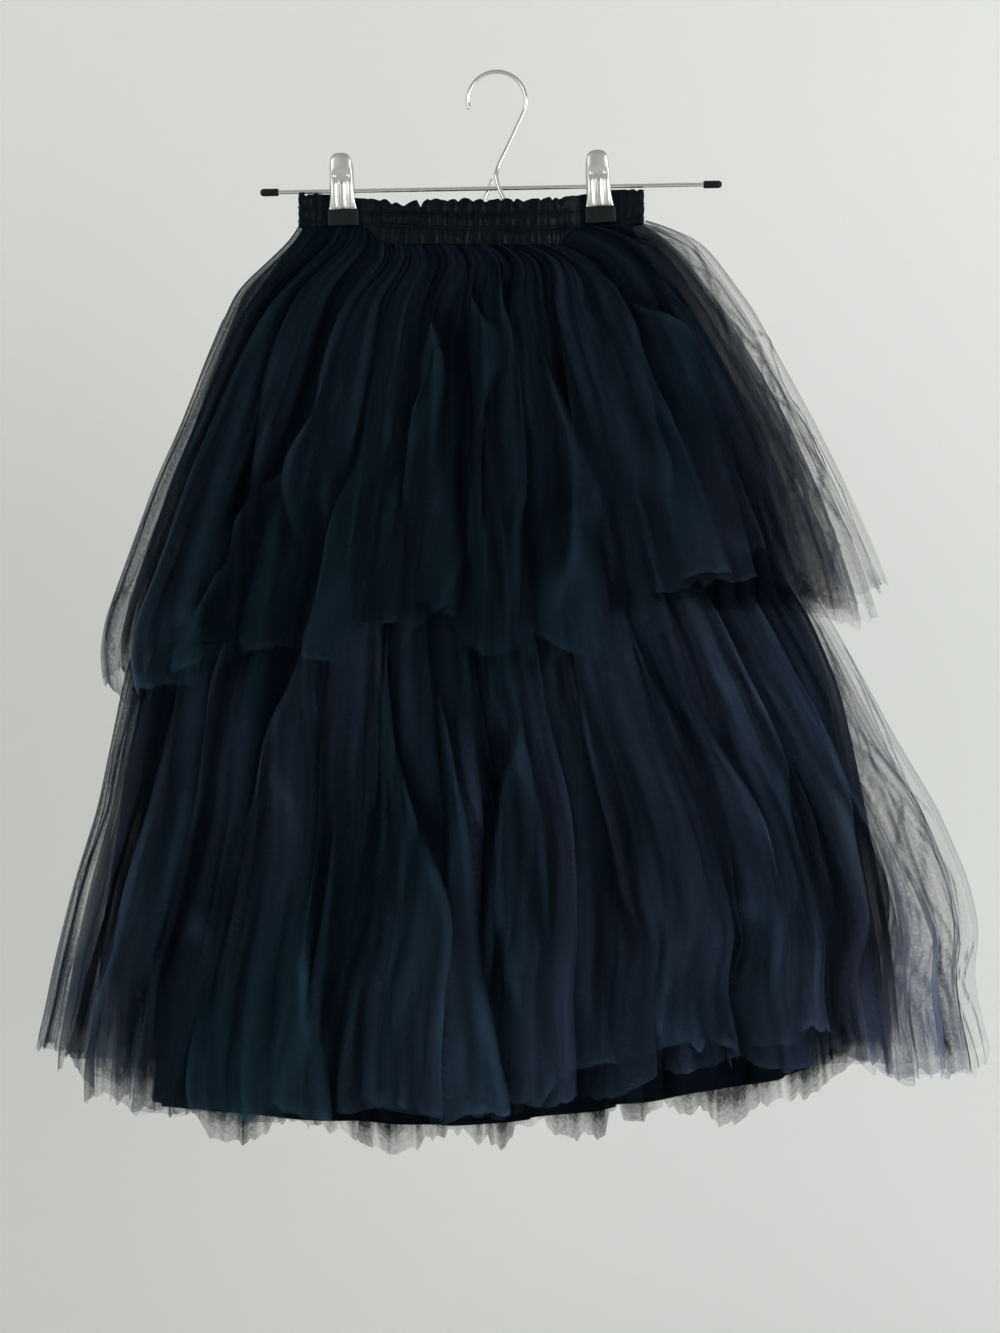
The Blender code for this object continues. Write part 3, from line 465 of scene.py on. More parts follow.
LOWER_UNDER_PLIES = (
    (0, 1), (0.04, 2.4), (0.07, 5.5), (0.1, 10), (0.92, 10), (0.95, 5), (0.975, 2.6), (1, 1.4),
)
# Thinning by the way down. A table that reaches more plies than this is an under layer's.
DENSE_PLIES = 3
UNDER_THINNING = ((0, 1.3), (0.5, 1.1), (0.8, 1), (0.955, 0.8), (0.975, 0.28), (1, 0.15))
HEM_THINNING = ((0, 1.3), (0.5, 1.1), (0.8, 1), (0.975, 0.7), (1, 1.1))
# Gains on the painted light by share: lighter at the sides, most at the right
PAINTED_LIGHT_BY_SHARE = ((0, 1.1), (0.06, 0.9), (0.14, 1), (0.86, 1), (0.93, 1.2), (1, 1.3))


def read_line(pairs, place):
    """The second number of a table of pairs at a place in the first, straight between its rows."""
    return np.interp(place, *np.array(pairs, float).T)


def ease(value, start, end):
    """0 before start, 1 after end, and 3t^2 - 2t^3 between them."""
    t = np.clip((value - start) / (end - start), 0.0, 1.0)
    return t * t * (3 - 2 * t)


def bell(away, width):
    """exp(-(away / width)^2): 1 in the middle, and fading to both sides."""
    return np.exp(-((away / width) ** 2))


def hump(away):
    """cos^2: 1 in the middle, and 0 from 1 away on."""
    return np.cos(np.clip(away, -1, 1) * math.pi / 2) ** 2


def wander(place, seed):
    """A slow uneven wave from -1 to 1: three sines whose rates share no whole ratio."""
    return (
        0.5 * np.sin(5.1 * place + 1.7 * seed)
        + 0.3 * np.sin(11.7 * place + 2.9 * seed)
        + 0.2 * np.sin(23.3 * place + 4.3 * seed)
    )


def soften(line):
    """A line of even steps with its corners rounded: each value is a bell-weighted mean of its neighbours."""
    reach = 6
    weights = bell(np.arange(-reach, reach + 1), 3.0)
    before = 2 * line[0] - line[reach:0:-1]
    after = 2 * line[-1] - line[-2 : -reach - 2 : -1]
    return np.convolve(np.concatenate([before, line, after]), weights / weights.sum(), mode="valid")


def smooth_line(knots, steps):
    """A Catmull-Rom curve through rows of numbers, with so many steps between two rows."""
    knots = np.array(knots, float)
    knots = np.concatenate([[2 * knots[0] - knots[1]], knots, [2 * knots[-1] - knots[-2]]])
    count = len(knots) - 3
    place = np.linspace(0, count, count * steps + 1)
    first = np.minimum(place.astype(int), count - 1)
    t = (place - first)[:, None]
    before, start, end, after = (knots[first + shift] for shift in range(4))
    bend = 2 * before - 5 * start + 4 * end - after
    twist = 3 * start - before - 3 * end + after
    return 0.5 * (2 * start + (end - before) * t + bend * t**2 + twist * t**3)


def unit(vectors):
    """Vectors brought to length 1."""
    return vectors / np.maximum(np.linalg.norm(vectors, axis=-1, keepdims=True), 1e-12)


def plan_line(left, right, depth):
    """Half a tube's plan, by a turn from 0 to pi: x = middle - half width * cos, y = depth * sin^fullness."""
    turn = np.linspace(0.0, math.pi, PLAN_STEPS)
    fullness = FLAT_FULLNESS + (FULL_FULLNESS - FLAT_FULLNESS) * np.minimum(1.0, depth / FULL_DEPTH)
    return (left + right) / 2 - (right - left) / 2 * np.cos(turn), depth * np.sin(turn) ** fullness


def even_plan(x, y, share):
    """A plan's points at shares of its length, and that length."""
    run = np.concatenate([[0.0], np.cumsum(np.hypot(np.diff(x), np.diff(y)))])
    return np.interp(share * run[-1], run, x), np.interp(share * run[-1], run, y), run[-1]


def plan_tables(sections, facing):
    """A half tier's plan at every level, read at even shares: x, y, the outward direction, and its length.

    The direction is the plan's own, turned a quarter out, and straight to the side at the seams.
    """
    drops = np.array([section.drop for section in sections], float)
    levels = np.linspace(drops[0], drops[-1], PLAN_LEVELS)
    left, right, front, back = (
        soften(np.interp(levels, drops, [getattr(section, side) for section in sections]))[:, None]
        for side in ("left", "right", "front", "back")
    )
    x, y = plan_line(left, right, front if facing < 0 else back)
    shares = np.linspace(0.0, 1.0, PLAN_STEPS)
    lengths = np.zeros(PLAN_LEVELS)
    for level in range(PLAN_LEVELS):
        x[level], y[level], lengths[level] = even_plan(x[level], y[level], shares)
    along_x, along_y = np.gradient(x, axis=1), np.gradient(y, axis=1)
    size = np.hypot(along_x, along_y)
    out_x, out_y = -along_y / size, along_x / size
    out_x[:, 0], out_y[:, 0] = -1.0, 0.0
    out_x[:, -1], out_y[:, -1] = 1.0, 0.0
    return levels, x, y, out_x, out_y, lengths


def read_table(table, row, column):
    """A table between its entries: weighted by the distance to the four round each place."""
    row = np.clip(row, 0, table.shape[0] - 1.001)
    column = np.clip(column, 0, table.shape[1] - 1.001)
    r, c = row.astype(int), column.astype(int)
    down, across = row - r, column - c
    upper = table[r, c] * (1 - across) + table[r, c + 1] * across
    lower = table[r + 1, c] * (1 - across) + table[r + 1, c + 1] * across
    return upper * (1 - down) + lower * down


def uneven_folds(count, start, most_lean=12.0):
    """Folds whose spacing, depth and lean wander round an even row, as gathers do."""
    folds = []
    for index in range(count + 1):
        inner = 0 < index < count
        place = (index + inner * 0.24 * math.sin(2.4 * index + start)) / count
        lean = inner * most_lean * math.sin(1.3 * index + 2.0 * start)
        folds.append(Fold(place, 0.8 + 0.2 * math.cos(1.9 * index + start), lean))
    return folds


def uneven_pleats(count, seed):
    """Panel edges at uneven places and in uneven sizes, for the cloth that the photograph doesn't show."""
    draw = np.random.RandomState(seed)
    pleats = []
    for index in range(count):
        place = 0.1 + 0.8 * (index + 0.5 + draw.uniform(-0.3, 0.3)) / count
        start, end = draw.uniform(0.0, 0.35), draw.uniform(0.75, 1.15)
        drift = draw.uniform(-0.035, 0.035)
        side = 1 if draw.uniform() < 0.5 else -1
        line = ((place, start), (place + 0.7 * drift, (start + end) / 2), (place + drift, end))
        pleats.append(Pleat(side, draw.uniform(16, 38), draw.uniform(3.5, 8), draw.uniform(5, 11), line))
    return pleats


def fold_waves(share, folds):
    """The dip between crests, (1 - cos(2 pi part)) / 2 of each fold's depth, and the folds' lean.

    The lean is one cos^2 hump on the flank of the crest that it leans over.
    """
    dip, lean = np.zeros_like(share), np.zeros_like(share)
    for fold, following in zip(folds, folds[1:]):
        part = (share - fold.share) / (following.share - fold.share)
        wave = ((1 - np.cos(2 * math.pi * part)) / 2) ** 1.2
        dip = np.where((part >= 0) & (part < 1), fold.depth * wave, dip)
    for before, fold, following in zip(folds, folds[1:], folds[2:]):
        space = (following.share - fold.share) if fold.lean > 0 else (fold.share - before.share)
        centre = fold.share + math.copysign(0.24 * space, fold.lean)
        lean = lean + FOLD_LEAN * fold.lean * hump((share - centre) / (0.34 * space))
    return dip, lean


def crease_ridges(creases, share, down, length, spread):
    """Creases as cos^2 ridges across their lines: how far they stand out, and the nearest one's strength,
    which paints shade into them.
    """
    outward, nearest = np.zeros_like(length), np.zeros_like(length)
    for crease in creases:
        way = np.clip((down - crease.start) / (crease.end - crease.start), 0, 1)
        centre = crease.share_start + (crease.share_end - crease.share_start) * way
        strength = ease(down, crease.start - 0.08, crease.start + 0.22)
        strength = strength * (1 - ease(down, crease.end - 0.2, crease.end + 0.02))
        away = (share - centre) * length / (crease.width * (0.5 + 0.5 * spread))
        ridge = strength * hump(away) * (0.4 + 0.6 * spread)
        outward += crease.rise * ridge
        nearest = np.maximum(nearest, ridge)
    return outward, nearest


def pleat_shapes(pleats, share, down, length, spread):
    """How far the panels' edges stand out and lap over, and the painted light and shade on them.

    Across its line a panel rises as cos^2 over its reach, and falls as cos^2 over the short tuck beyond
    it. Both the rise and the lap follow that ridge, so the cloth folds back under the edge.
    """
    outward, along, light = (np.zeros_like(length) for _ in range(3))
    size = 0.55 + 0.45 * spread
    for pleat in pleats:
        places, drops = smooth_line(pleat.line, 8).T
        strength = ease(down, drops[0] - 0.04, drops[0] + 0.26)
        strength = strength * (1 - ease(down, drops[-1] - 0.14, drops[-1]))
        away = pleat.side * (share - np.interp(down, drops, places)) * length
        ridge = strength * size * hump(away / (np.where(away < 0, pleat.reach, PLEAT_TUCK) * size))
        outward += pleat.rise * ridge
        along += pleat.side * pleat.lap * ridge
        light += strength * sum(gain * bell(away - place, width) for gain, place, width in PLEAT_PAINTED_LIGHTS)
    return outward, along, light


def gather_waves(gathers, facing, share, down, length, calm):
    """Gathers as height * cos(phase) outwards and roll * sin(phase) along the plan.

    This makes broad crests and narrow valleys. The third result is the waves, for painted light on the
    crests and painted shade in the valleys.
    """
    outward, along, painted_wave_light = (np.zeros_like(length) for _ in range(3))
    for gather in gathers:
        patchy = wander(3.1 * share + 0.9 * down, gather.seed + 2.0 * facing)
        unevenness = np.clip(0.5 + 0.9 * patchy, 0.08, 1.2)
        height = np.interp(down, (0.0, 0.3, 0.6, 1.0), (gather.top, gather.middle, gather.middle, gather.hem))
        height = height * unevenness * calm
        turns = gather.count * share + 1.5 * wander(1.9 * share + 0.35 * down, gather.seed + facing)
        wave = np.cos(2 * math.pi * turns)
        roll = gather.roll * np.minimum(height, length / gather.count / (2 * math.pi))
        outward += height * (wave - 0.4)
        along += roll * np.sin(2 * math.pi * turns)
        painted_wave_light += wave * np.minimum(height, 2.0)
    return outward, along, painted_wave_light


def painted_fine_highlights(count, share, down, seed):
    """Thin painted highlight lines that run down doubled net: exp(-(distance / width)^2), uneven in place,
    and fading.
    """
    turns = count * share + 1.4 * wander(2.1 * share + 0.45 * down, seed)
    showing = np.clip(0.25 + 1.4 * wander(5.3 * share + 1.6 * down, seed + 2.0), 0, 1)
    return showing * bell(turns - np.floor(turns) - 0.5, FINE_LINE_WIDTH)


def web_strength(webs, share, down, length, fall):
    """How near each point lies to a crease line: exp(-(distance / width)^2) of the nearest one."""
    nearest = np.full(length.shape, 1e6)
    for line in webs:
        for (share_from, down_from), (share_to, down_to) in zip(line, line[1:]):
            across, below = (share - share_from) * length, (down - down_from) * fall
            run, drop = (share_to - share_from) * length, (down_to - down_from) * fall
            part = np.clip((across * run + below * drop) / (run**2 + drop**2), 0, 1)
            nearest = np.minimum(nearest, (across - part * run) ** 2 + (below - part * drop) ** 2)
    return np.exp(-nearest / WEB_WIDTH**2)


def ragged_edge(share, seed, depth):
    """A raw cut edge: straight snips between uneven points, large ones with small ones on them."""
    draw = np.random.RandomState(seed)
    edge = np.zeros_like(share)
    for count, size in ((34, 1.0), (110, 0.55), (240, 0.3)):
        places = np.sort(np.concatenate([[0.0, 1.0], draw.uniform(0, 1, count)]))
        depths = draw.uniform(-1, 1, count + 2)
        depths[[0, -1]] = 0.0
        edge += size * depth * np.interp(share, places, depths)
    return edge


def net_values(tier, half, share, down, web, painted_light_level):
    """A net's values at its points: its plies, the painted light and shade on its folds, and its tint."""
    heaps = sum(
        spot.plies * bell(share - spot.share, spot.wide) * bell(down - spot.down, spot.long)
        for spot in half.patches
    )
    thinning = UNDER_THINNING if max(plies for _, plies in half.plies) > DENSE_PLIES else HEM_THINNING
    crowding = (0.26 + 0.74 * down) ** -0.5
    # Painted shade towards the waist, and painted light at the very hem
    painted_light_by_drop = 0.42 + 0.55 * np.sqrt(down) + 0.3 * ease(down, 0.985, 1.0)
    layered = read_line(half.plies, share) * read_line(thinning, down) * crowding
    return {
        "plies": layered + WEB_PLIES * web + heaps,
        "light": np.clip(painted_light_level, 0, 1.8) * painted_light_by_drop * read_line(PAINTED_LIGHT_BY_SHARE, share),
        "tint": 0.6 * wander(1.3 * share + 0.5 * down, tier.seed) + 0.9 * (share - 0.5),
    }


def tier_half(tier, facing, share, half, seam):
    """Half a tier on a grid of the way down and the share of the plan: points in mm, ways down, net values.

    A point starts on the plan of its level, dips inwards by depth * dip between the crests, and leans
    along the plan on the folds' flanks. Creases, panels' edges, gathers and webs move it further.
    """
    levels, x_plan, y_plan, out_x_plan, out_y_plan, lengths = plan_tables(tier.sections, facing)
    down = np.linspace(0.0, 1.0, tier.rows + 1)[:, None] ** ROW_CROWDING
    seam_drop = read_line(seam, np.interp(share, np.linspace(0, 1, PLAN_STEPS), x_plan[0]))
    seam_drop = seam_drop - SEAM_LAP * np.abs(wander(11 * share, tier.seed)) * (tier.ragged > 0)
    cut = ragged_edge(share, 10 * tier.seed + facing + 1, tier.ragged)
    cut = cut + HEM_WAVE * tier.ragged * wander(6.7 * share, tier.seed + 0.5 * facing)
    fall = read_line(half.hem, share) + cut - seam_drop
    level = levels[0] + down * fall
    spread = np.interp(level, levels, lengths) / lengths[-1]
    length = spread * lengths[-1]
    ends = np.minimum(1.0, np.sin(math.pi * share) / 0.1)
    side = read_line(CALM_SIDES, share)
    bend = 0.006 * wander(share * 2 + 0.8 * down, tier.seed + facing) * ends * down
    row = (level - levels[0]) / (levels[1] - levels[0])
    column = np.clip(share + bend, 0, 1) * (PLAN_STEPS - 1)
    x, y, out_x, out_y = (read_table(plan, row, column) for plan in (x_plan, y_plan, out_x_plan, out_y_plan))

    dip, lean = fold_waves(share, half.folds)
    creased, painted_crease_shade = crease_ridges(half.creases, share, down, length, spread)
    raised, lapped, painted_lit = pleat_shapes(half.pleats, share, down, length, spread)
    gathered, swayed, painted_wave_light = gather_waves(tier.gathers, facing, share, down, length, ends * side)
    web = web_strength(half.webs, share, down, length, fall)
    held = ends * ease(down, 0.0, 0.12)
    outward = creased + (raised - PLEAT_SETTLE) * held + gathered + WEB_RISE * web
    outward -= (tier.top_dip + (tier.hem_dip - tier.top_dip) * down) * dip * side
    along = lean * spread * ends * (0.35 + 0.65 * down) + lapped * held + swayed
    x, y = x + out_x * outward + out_y * along, y + out_y * outward - out_x * along
    y = np.where(ends > 0.02, np.maximum(y, HALVES_APART), y)
    points = np.stack([x, facing * y, -(seam_drop + down * fall)], axis=-1)

    # Painted light and shade on the net's colour: shade in the valleys and creases, light on crests, panel
    # edges, gathers and fine lines
    painted_light_level = 0.8 * np.clip(1 - 1.1 * dip * (0.5 + 0.5 * down), 0, 1) * (1 - 0.95 * painted_crease_shade) + painted_lit * held
    painted_light_level += (0.10 + 0.05 * (1 - ease(down, 0.0, 0.35))) * painted_wave_light
    lines = FINE_LINE_PAINTED_LIGHT * painted_fine_highlights(tier.columns // FINE_LINE_COLUMNS, share, down, tier.seed)
    painted_light_level += lines * (ease(down, 0.04, 0.4) + 0.6 * ease(down, 0.8, 1.0))
    values = net_values(tier, half, share, down, web, painted_light_level) if half.plies else {}
    return points, down + 0 * x, values


def pucker_depth(puckers, share, length, way, facing):
    """Narrow valleys at uneven places: the sum of depth * exp(-(distance / width)^2), slanted downwards."""
    draw = np.random.RandomState(puckers.seed + 2 + facing)
    places = (np.arange(puckers.count) + 0.5 + draw.uniform(-0.36, 0.36, puckers.count)) / puckers.count
    depths = puckers.depth * draw.uniform(0.35, 1.0, puckers.count)
    widths = puckers.width * draw.uniform(0.7, 1.5, puckers.count)
    slants = puckers.slant * draw.uniform(-1.0, 1.0, puckers.count)
    away = (share[None, :, None] - places) * length - slants * (way[:, None, None] - 1.5)
    return read_line(puckers.strength, way)[:, None] * (depths * bell(away, widths)).sum(axis=-1)


def band_half(facing, share):
    """Half the waistband: heading, casing and strip, puffed between its stitch lines and puckered.

    The way down it runs from 0 at the top edge through 1 and 2 at the stitch lines to 3 at the seam.
    Outwards = puff(way) - dip at each stitch line - the puckers' valleys, all less where it is pinched.
    The top edge follows its own line, lower in the valleys, with a slow ruffle on it.
    """
    x, y = plan_line(WAIST_LEFT, WAIST_RIGHT, WAIST_DEPTH)
    x, y, length = even_plan(x, np.minimum(y, read_line(PINCH, x)), share)
    along = unit(np.stack([np.gradient(x), np.gradient(y)], axis=-1))
    ends = np.minimum(1.0, np.sin(math.pi * share) / 0.05)
    loose = np.clip((read_line(PINCH, x) - PINCHED) / 4, 0.12, 1.0) * (0.25 + 0.75 * ends)
    last = len(BAND_ROWS) - 1
    way = np.concatenate([
        np.linspace(zone, zone + 1, rows, endpoint=zone == last) for zone, rows in enumerate(BAND_ROWS)
    ])
    valleys = sum(
        pucker_depth(puckers, share, length, way, facing)
        for puckers in (HEADING_PUCKERS, CASING_PUCKERS, STRIP_PUCKERS)
    )
    valleys = DEEPEST_PUCKER * np.tanh(valleys / DEEPEST_PUCKER)
    puff = read_line(BAND_PUFF, way) - STITCH_DIP * (bell(way - 1, 0.09) + bell(way - 2, 0.09))
    outward = (puff[:, None] - valleys) * loose
    ruffle = HEADING_RUFFLE * wander(11.3 * share, 2.0 + facing) * ends * loose
    waist_lines = (HEADING_TOP, UPPER_STITCHES, LOWER_STITCHES, WAIST_SEAM)
    lines = np.array([read_line(line, x) for line in waist_lines])
    lines[0] += 1.1 * valleys[0] * loose + ruffle - 0.5
    lines[3] += 0.4
    zone = np.minimum(way.astype(int), last)
    part = (way - zone)[:, None]
    drop = lines[zone] * (1 - part) + lines[zone + 1] * part
    depth = np.maximum(y + along[:, 0] * outward, 0.0) + HALVES_APART
    return np.stack([x - along[:, 1] * outward, facing * depth, -drop], axis=-1)


def grid_corners(rows, columns, wrap):
    """The (row, column) arrays of each corner of a grid's quads, closed across if wrap is set."""
    row, column = np.indices((rows - 1, columns if wrap else columns - 1))
    return (row, column), (row + 1, column), (row + 1, column + 1), (row, column + 1)


def grid_faces(corners, columns):
    """The numbers of each quad's corner points, counted row by row."""
    return np.stack([row * columns + column % columns for row, column in corners], axis=-1)


def add_mesh(name, points, faces, material):
    """A new piece at the origin, from points in mm and faces of four."""
    mesh = bpy.data.meshes.new(name)
    mesh.from_pydata((points.reshape(-1, 3) * MM).tolist(), [], faces.reshape(-1, 4).tolist())
    mesh.materials.append(material)
    mesh.shade_smooth()
    piece = bpy.data.objects.new(name, mesh)
    bpy.context.scene.collection.objects.link(piece)
    return piece


def add_surface(name, points, uv, wrap, material, values=()):
    """A mesh of quads over a grid of points (rows, columns, 3) in mm, closed across if wrap is set.

    uv has one column more than a wrapped grid. values pairs names with numbers, one for each point.
    """
    rows, columns = points.shape[:2]
    corners = grid_corners(rows, columns, wrap)
    piece = add_mesh(name, points, grid_faces(corners, columns), material)
    if uv is not None:
        places = np.stack([uv[row, column] for row, column in corners], axis=2)
        layer = piece.data.uv_layers.new(name="cloth")
        layer.data.foreach_set("uv", places.reshape(-1).astype(np.float32))
    for label, numbers in dict(values).items():
        attribute = piece.data.attributes.new(label, "FLOAT", "POINT")
        attribute.data.foreach_set("value", numbers.reshape(-1).astype(np.float32))
    return piece


def close_surface(piece):
    """Merge a piece's seams and poles, fill an open ring, and turn its faces outwards."""
    shape = bmesh.new()
    shape.from_mesh(piece.data)
    bmesh.ops.remove_doubles(shape, verts=shape.verts, dist=1e-6)
    bmesh.ops.holes_fill(shape, edges=[edge for edge in shape.edges if edge.is_boundary], sides=0)
    bmesh.ops.dissolve_degenerate(shape, edges=shape.edges, dist=1e-7)
    bmesh.ops.recalc_face_normals(shape, faces=shape.faces)
    shape.to_mesh(piece.data)
    shape.free()
    piece.data.shade_smooth()


def thicken(piece, thickness):
    """Give a surface its wall, evenly to both sides."""
    wall = piece.modifiers.new("Wall", "SOLIDIFY")
    wall.thickness = thickness * MM
    wall.offset = 0.0
    wall.use_even_offset = True
    wall.thickness_clamp = 1.0


def mount_piece(piece, slot, *node_names):
    """Let a piece ride on the hanger's body in place of its solids. slot is not used."""
    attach(piece, "root")
    if node_names:
        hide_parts(*node_names)


def add_tier(layer, material, slot):
    """A whole tier as one open tube: the front from left to right, and the back from right to left.

    The UV map is the cloth laid flat, in metres across and down. plies counts the net's layers in one
    place, and light is painted light and shade: it runs from 0 in a valley to 1 on a crest, and higher
    on a panel's edge.
    """
    tier = layer.tier
    shares = []
    for columns in (tier.columns, int(BACK_COLUMNS * tier.columns)):
        even = np.linspace(0.0, 1.0, columns, endpoint=False)
        shares.append(even - SIDE_CROWDING * np.sin(2 * math.pi * even) / (2 * math.pi))
    to_right, to_left = shares
    front = tier_half(tier, -1, to_right, layer.front, layer.seam)
    back = tier_half(tier, 1, 1.0 - to_left, layer.back, layer.seam)
    points, down = (np.concatenate(parts, axis=1) for parts in zip(front[:2], back[:2]))
    values = {label: np.concatenate([front[2][label], back[2][label]], axis=1) for label in front[2]}
    width, length = tier.flat
    across = width * np.concatenate([to_right / 2, 0.5 + to_left / 2, [1.0]])
    deep = np.concatenate([down, down[:, :1]], axis=1) * length
    if values:
        # The layer's gains on the painted light, from left to right and towards the hem
        left, right, hem = layer.light
        values["light"] *= left + (right - left) * np.concatenate([to_right, 1.0 - to_left])
        values["light"] *= 1 + hem * ease(down, 0.62, 1.0)
        values["tint"] = np.clip(values["tint"] + layer.tint, 0, 1)
    uv = np.stack([across + 0 * deep, deep], axis=-1)
    piece = add_surface(f"{layer.name}_cloth", points, uv, True, material, values)
    mount_piece(piece, slot, *layer.nodes)
    return piece


def add_stitches(name, path, normals, pitch, length, radius, material):
    """A line of stitches: small ellipsoids along a path, each squeezed to its thread's radius."""
    run = np.concatenate([[0.0], np.cumsum(np.linalg.norm(np.diff(path, axis=0), axis=1))])
    places = np.arange(pitch / 2, run[-1], pitch)
    centres, up, along = (
        np.stack([np.interp(places, run, line[:, axis]) for axis in range(3)], axis=-1)
        for line in (path, normals, np.gradient(path, axis=0))
    )
    up, along = unit(up), unit(along)
    axes = np.stack([along, up, unit(np.cross(along, up))], axis=1)
    polar = np.linspace(0, math.pi, STITCH_RINGS)[:, None]
    angle = np.linspace(0, 2 * math.pi, STITCH_RINGS, endpoint=False)
    ring = radius * np.sin(polar)
    local = (length / 2 * np.cos(polar) + 0 * angle, ring * np.cos(angle), ring * np.sin(angle))
    local = np.stack(local, axis=-1).reshape(-1, 3)
    points = centres[:, None] + np.einsum("ij,njk->nik", local, axes)
    faces = grid_faces(grid_corners(STITCH_RINGS, STITCH_RINGS, True), STITCH_RINGS).reshape(1, -1, 4)
    faces = faces + np.arange(len(places))[:, None, None] * len(local)
    stitches = add_mesh(name, points, faces, material)
    close_surface(stitches)
    mount_piece(stitches, "satin")
    return stitches


def add_waistband(satin, thread):
    """The gathered satin band with its ruffled heading, casing and strip, and two lines of stitches."""
    share = np.linspace(0.0, 1.0, BAND_COLUMNS, endpoint=False)
    points = np.concatenate([band_half(-1, share), band_half(1, 1.0 - share)], axis=1)
    rows, columns = points.shape[:2]
    width, length = BAND_CUT
    across, down = np.meshgrid(np.linspace(0.0, width, columns + 1), np.linspace(0.0, length, rows))
    band = add_surface("waistband_satin", points, np.stack([across, down], axis=-1), True, satin)
    thicken(band, BAND_THICKNESS)
    mount_piece(band, "satin", "waistband_front", "waistband_back")
    normals = unit(np.cross(np.gradient(points, axis=0), np.gradient(points, axis=1)))
    for name, row in (("upper", BAND_ROWS[0]), ("lower", BAND_ROWS[0] + BAND_ROWS[1])):
        path = points[row] + normals[row] * (BAND_THICKNESS / 2 + 0.05)
        path, facing = (np.concatenate([line, line[:1]]) for line in (path, normals[row]))
        add_stitches(f"waist_stitches_{name}", path, facing, 2.6, 2.0, 0.2, thread)


def add_lining_stitches(layer, thread):
    """A line of stitches round the lining, above its turned hem."""
    share = np.linspace(0.0, 1.0, 200, endpoint=False)
    front = tier_half(layer.tier, -1, share, layer.front, layer.seam)[0]
    back = tier_half(layer.tier, 1, 1.0 - share, layer.back, layer.seam)[0]
    above, edge = np.concatenate([front, back], axis=1)[-2:]
    path = edge + unit(above - edge) * HEM_TURN
    outwards = unit(np.cross(np.gradient(path, axis=0), (0.0, 0.0, 1.0)))
    return add_stitches("lining_hem_stitches", path + 0.1 * outwards, outwards, 3.4, 2.6, 0.25, thread)


def inner_tier(inner, outer):
    """A ply inside another: the outer one's sides and depths drawn in, more towards the hem."""
    first, last = outer.sections[0].drop, outer.sections[-1].drop
    sections = []
    for drop, left, right, front, back in outer.sections:
        way = (drop - first) / (last - first)
        side, depth = (start + (end - start) * way for start, end in (INNER_SIDE_SPACE, INNER_DEPTH_SPACE))
        sections.append(Section(drop, left + side, right - side, front - depth, back - depth))
    return inner._replace(sections=sections)


def tier_layers():
    """The tulle layers from the outside in, each with its hems, plies, folds, creases and webs."""
    upper_nodes = ("upper_tulle_front", "upper_tulle_back")
    lower_nodes = ("lower_tulle_front", "lower_tulle_back")
    return (
        Layer(
            "upper_tulle", UPPER_TULLE, WAIST_SEAM, (0.76, 0.82, 0.4), 0.3,
            Half(UPPER_FRONT_HEM, UPPER_OUTER_PLIES, UPPER_FRONT_FOLDS, UPPER_FRONT_CREASES,
                 UPPER_FRONT_PLEATS, UPPER_RIGHT_WEB + UPPER_LEFT_WEB, UPPER_PATCHES),
            Half(UPPER_BACK_HEM, UPPER_OUTER_PLIES, uneven_folds(16, 0.4), UPPER_BACK_CREASES,
                 uneven_pleats(10, 41), UPPER_BACK_WEB),
            upper_nodes,
        ),
        Layer(
            "upper_inner_tulle", inner_tier(UPPER_INNER_TULLE, UPPER_TULLE), WAIST_SEAM,
            (0.45, 0.5, 0.2), 0.3,
            Half(UPPER_INNER_FRONT_HEM, UPPER_INNER_PLIES, uneven_folds(14, 1.6), (),
                 uneven_pleats(9, 42), UPPER_BACK_WEB),
            Half(UPPER_INNER_BACK_HEM, UPPER_INNER_PLIES, uneven_folds(14, 3.1), (),
                 uneven_pleats(7, 43), UPPER_RIGHT_WEB),
            upper_nodes,
        ),
        Layer(
            "upper_under_tulle", UPPER_UNDER_TULLE, WAIST_SEAM, (0.4, 0.4, 0.2), 0.3,
            Half(UPPER_UNDER_HEM, UPPER_UNDER_PLIES, uneven_folds(11, -1, 4.0)),
            Half(UPPER_UNDER_HEM, UPPER_UNDER_PLIES, uneven_folds(11, 1, 4.0)),
            ("upper_under_tulle_front", "upper_under_tulle_back"),
        ),
        Layer(
            "lower_tulle", LOWER_TULLE, LOWER_SEAM, (0.8, 1.75, 0.85), 0.5,
            Half(LOWER_FRONT_HEM, LOWER_OUTER_PLIES, LOWER_FRONT_FOLDS, LOWER_FRONT_CREASES,
                 LOWER_FRONT_PLEATS, LOWER_RIGHT_WEB + LOWER_LEFT_WEB, LOWER_PATCHES),
            Half(LOWER_BACK_HEM, LOWER_OUTER_PLIES, uneven_folds(16, 2.2), LOWER_BACK_CREASES,
                 uneven_pleats(11, 44), LOWER_BACK_WEB),
            lower_nodes,
        ),
        Layer(
            "lower_inner_tulle", inner_tier(LOWER_INNER_TULLE, LOWER_TULLE), LOWER_SEAM,
            (0.5, 0.9, 0.6), 0.5,
            Half(LOWER_INNER_FRONT_HEM, LOWER_INNER_PLIES, uneven_folds(15, 0.9), (),
                 uneven_pleats(10, 45), LOWER_BACK_WEB, LOWER_PATCHES),
            Half(LOWER_INNER_BACK_HEM, LOWER_INNER_PLIES, uneven_folds(15, 5.1), (),
                 uneven_pleats(8, 46), LOWER_RIGHT_WEB),
            lower_nodes,
        ),
        Layer(
            "lower_under_tulle", LOWER_UNDER_TULLE, LOWER_SEAM, (0.4, 0.7, 0.6), 0.5,
            Half(LOWER_UNDER_HEM, LOWER_UNDER_PLIES, uneven_folds(11, 4, 4.0)),
            Half(LOWER_UNDER_HEM, LOWER_UNDER_PLIES, uneven_folds(11, 6, 4.0)),
            ("lower_under_tulle_front", "lower_under_tulle_back"),
        ),
    )


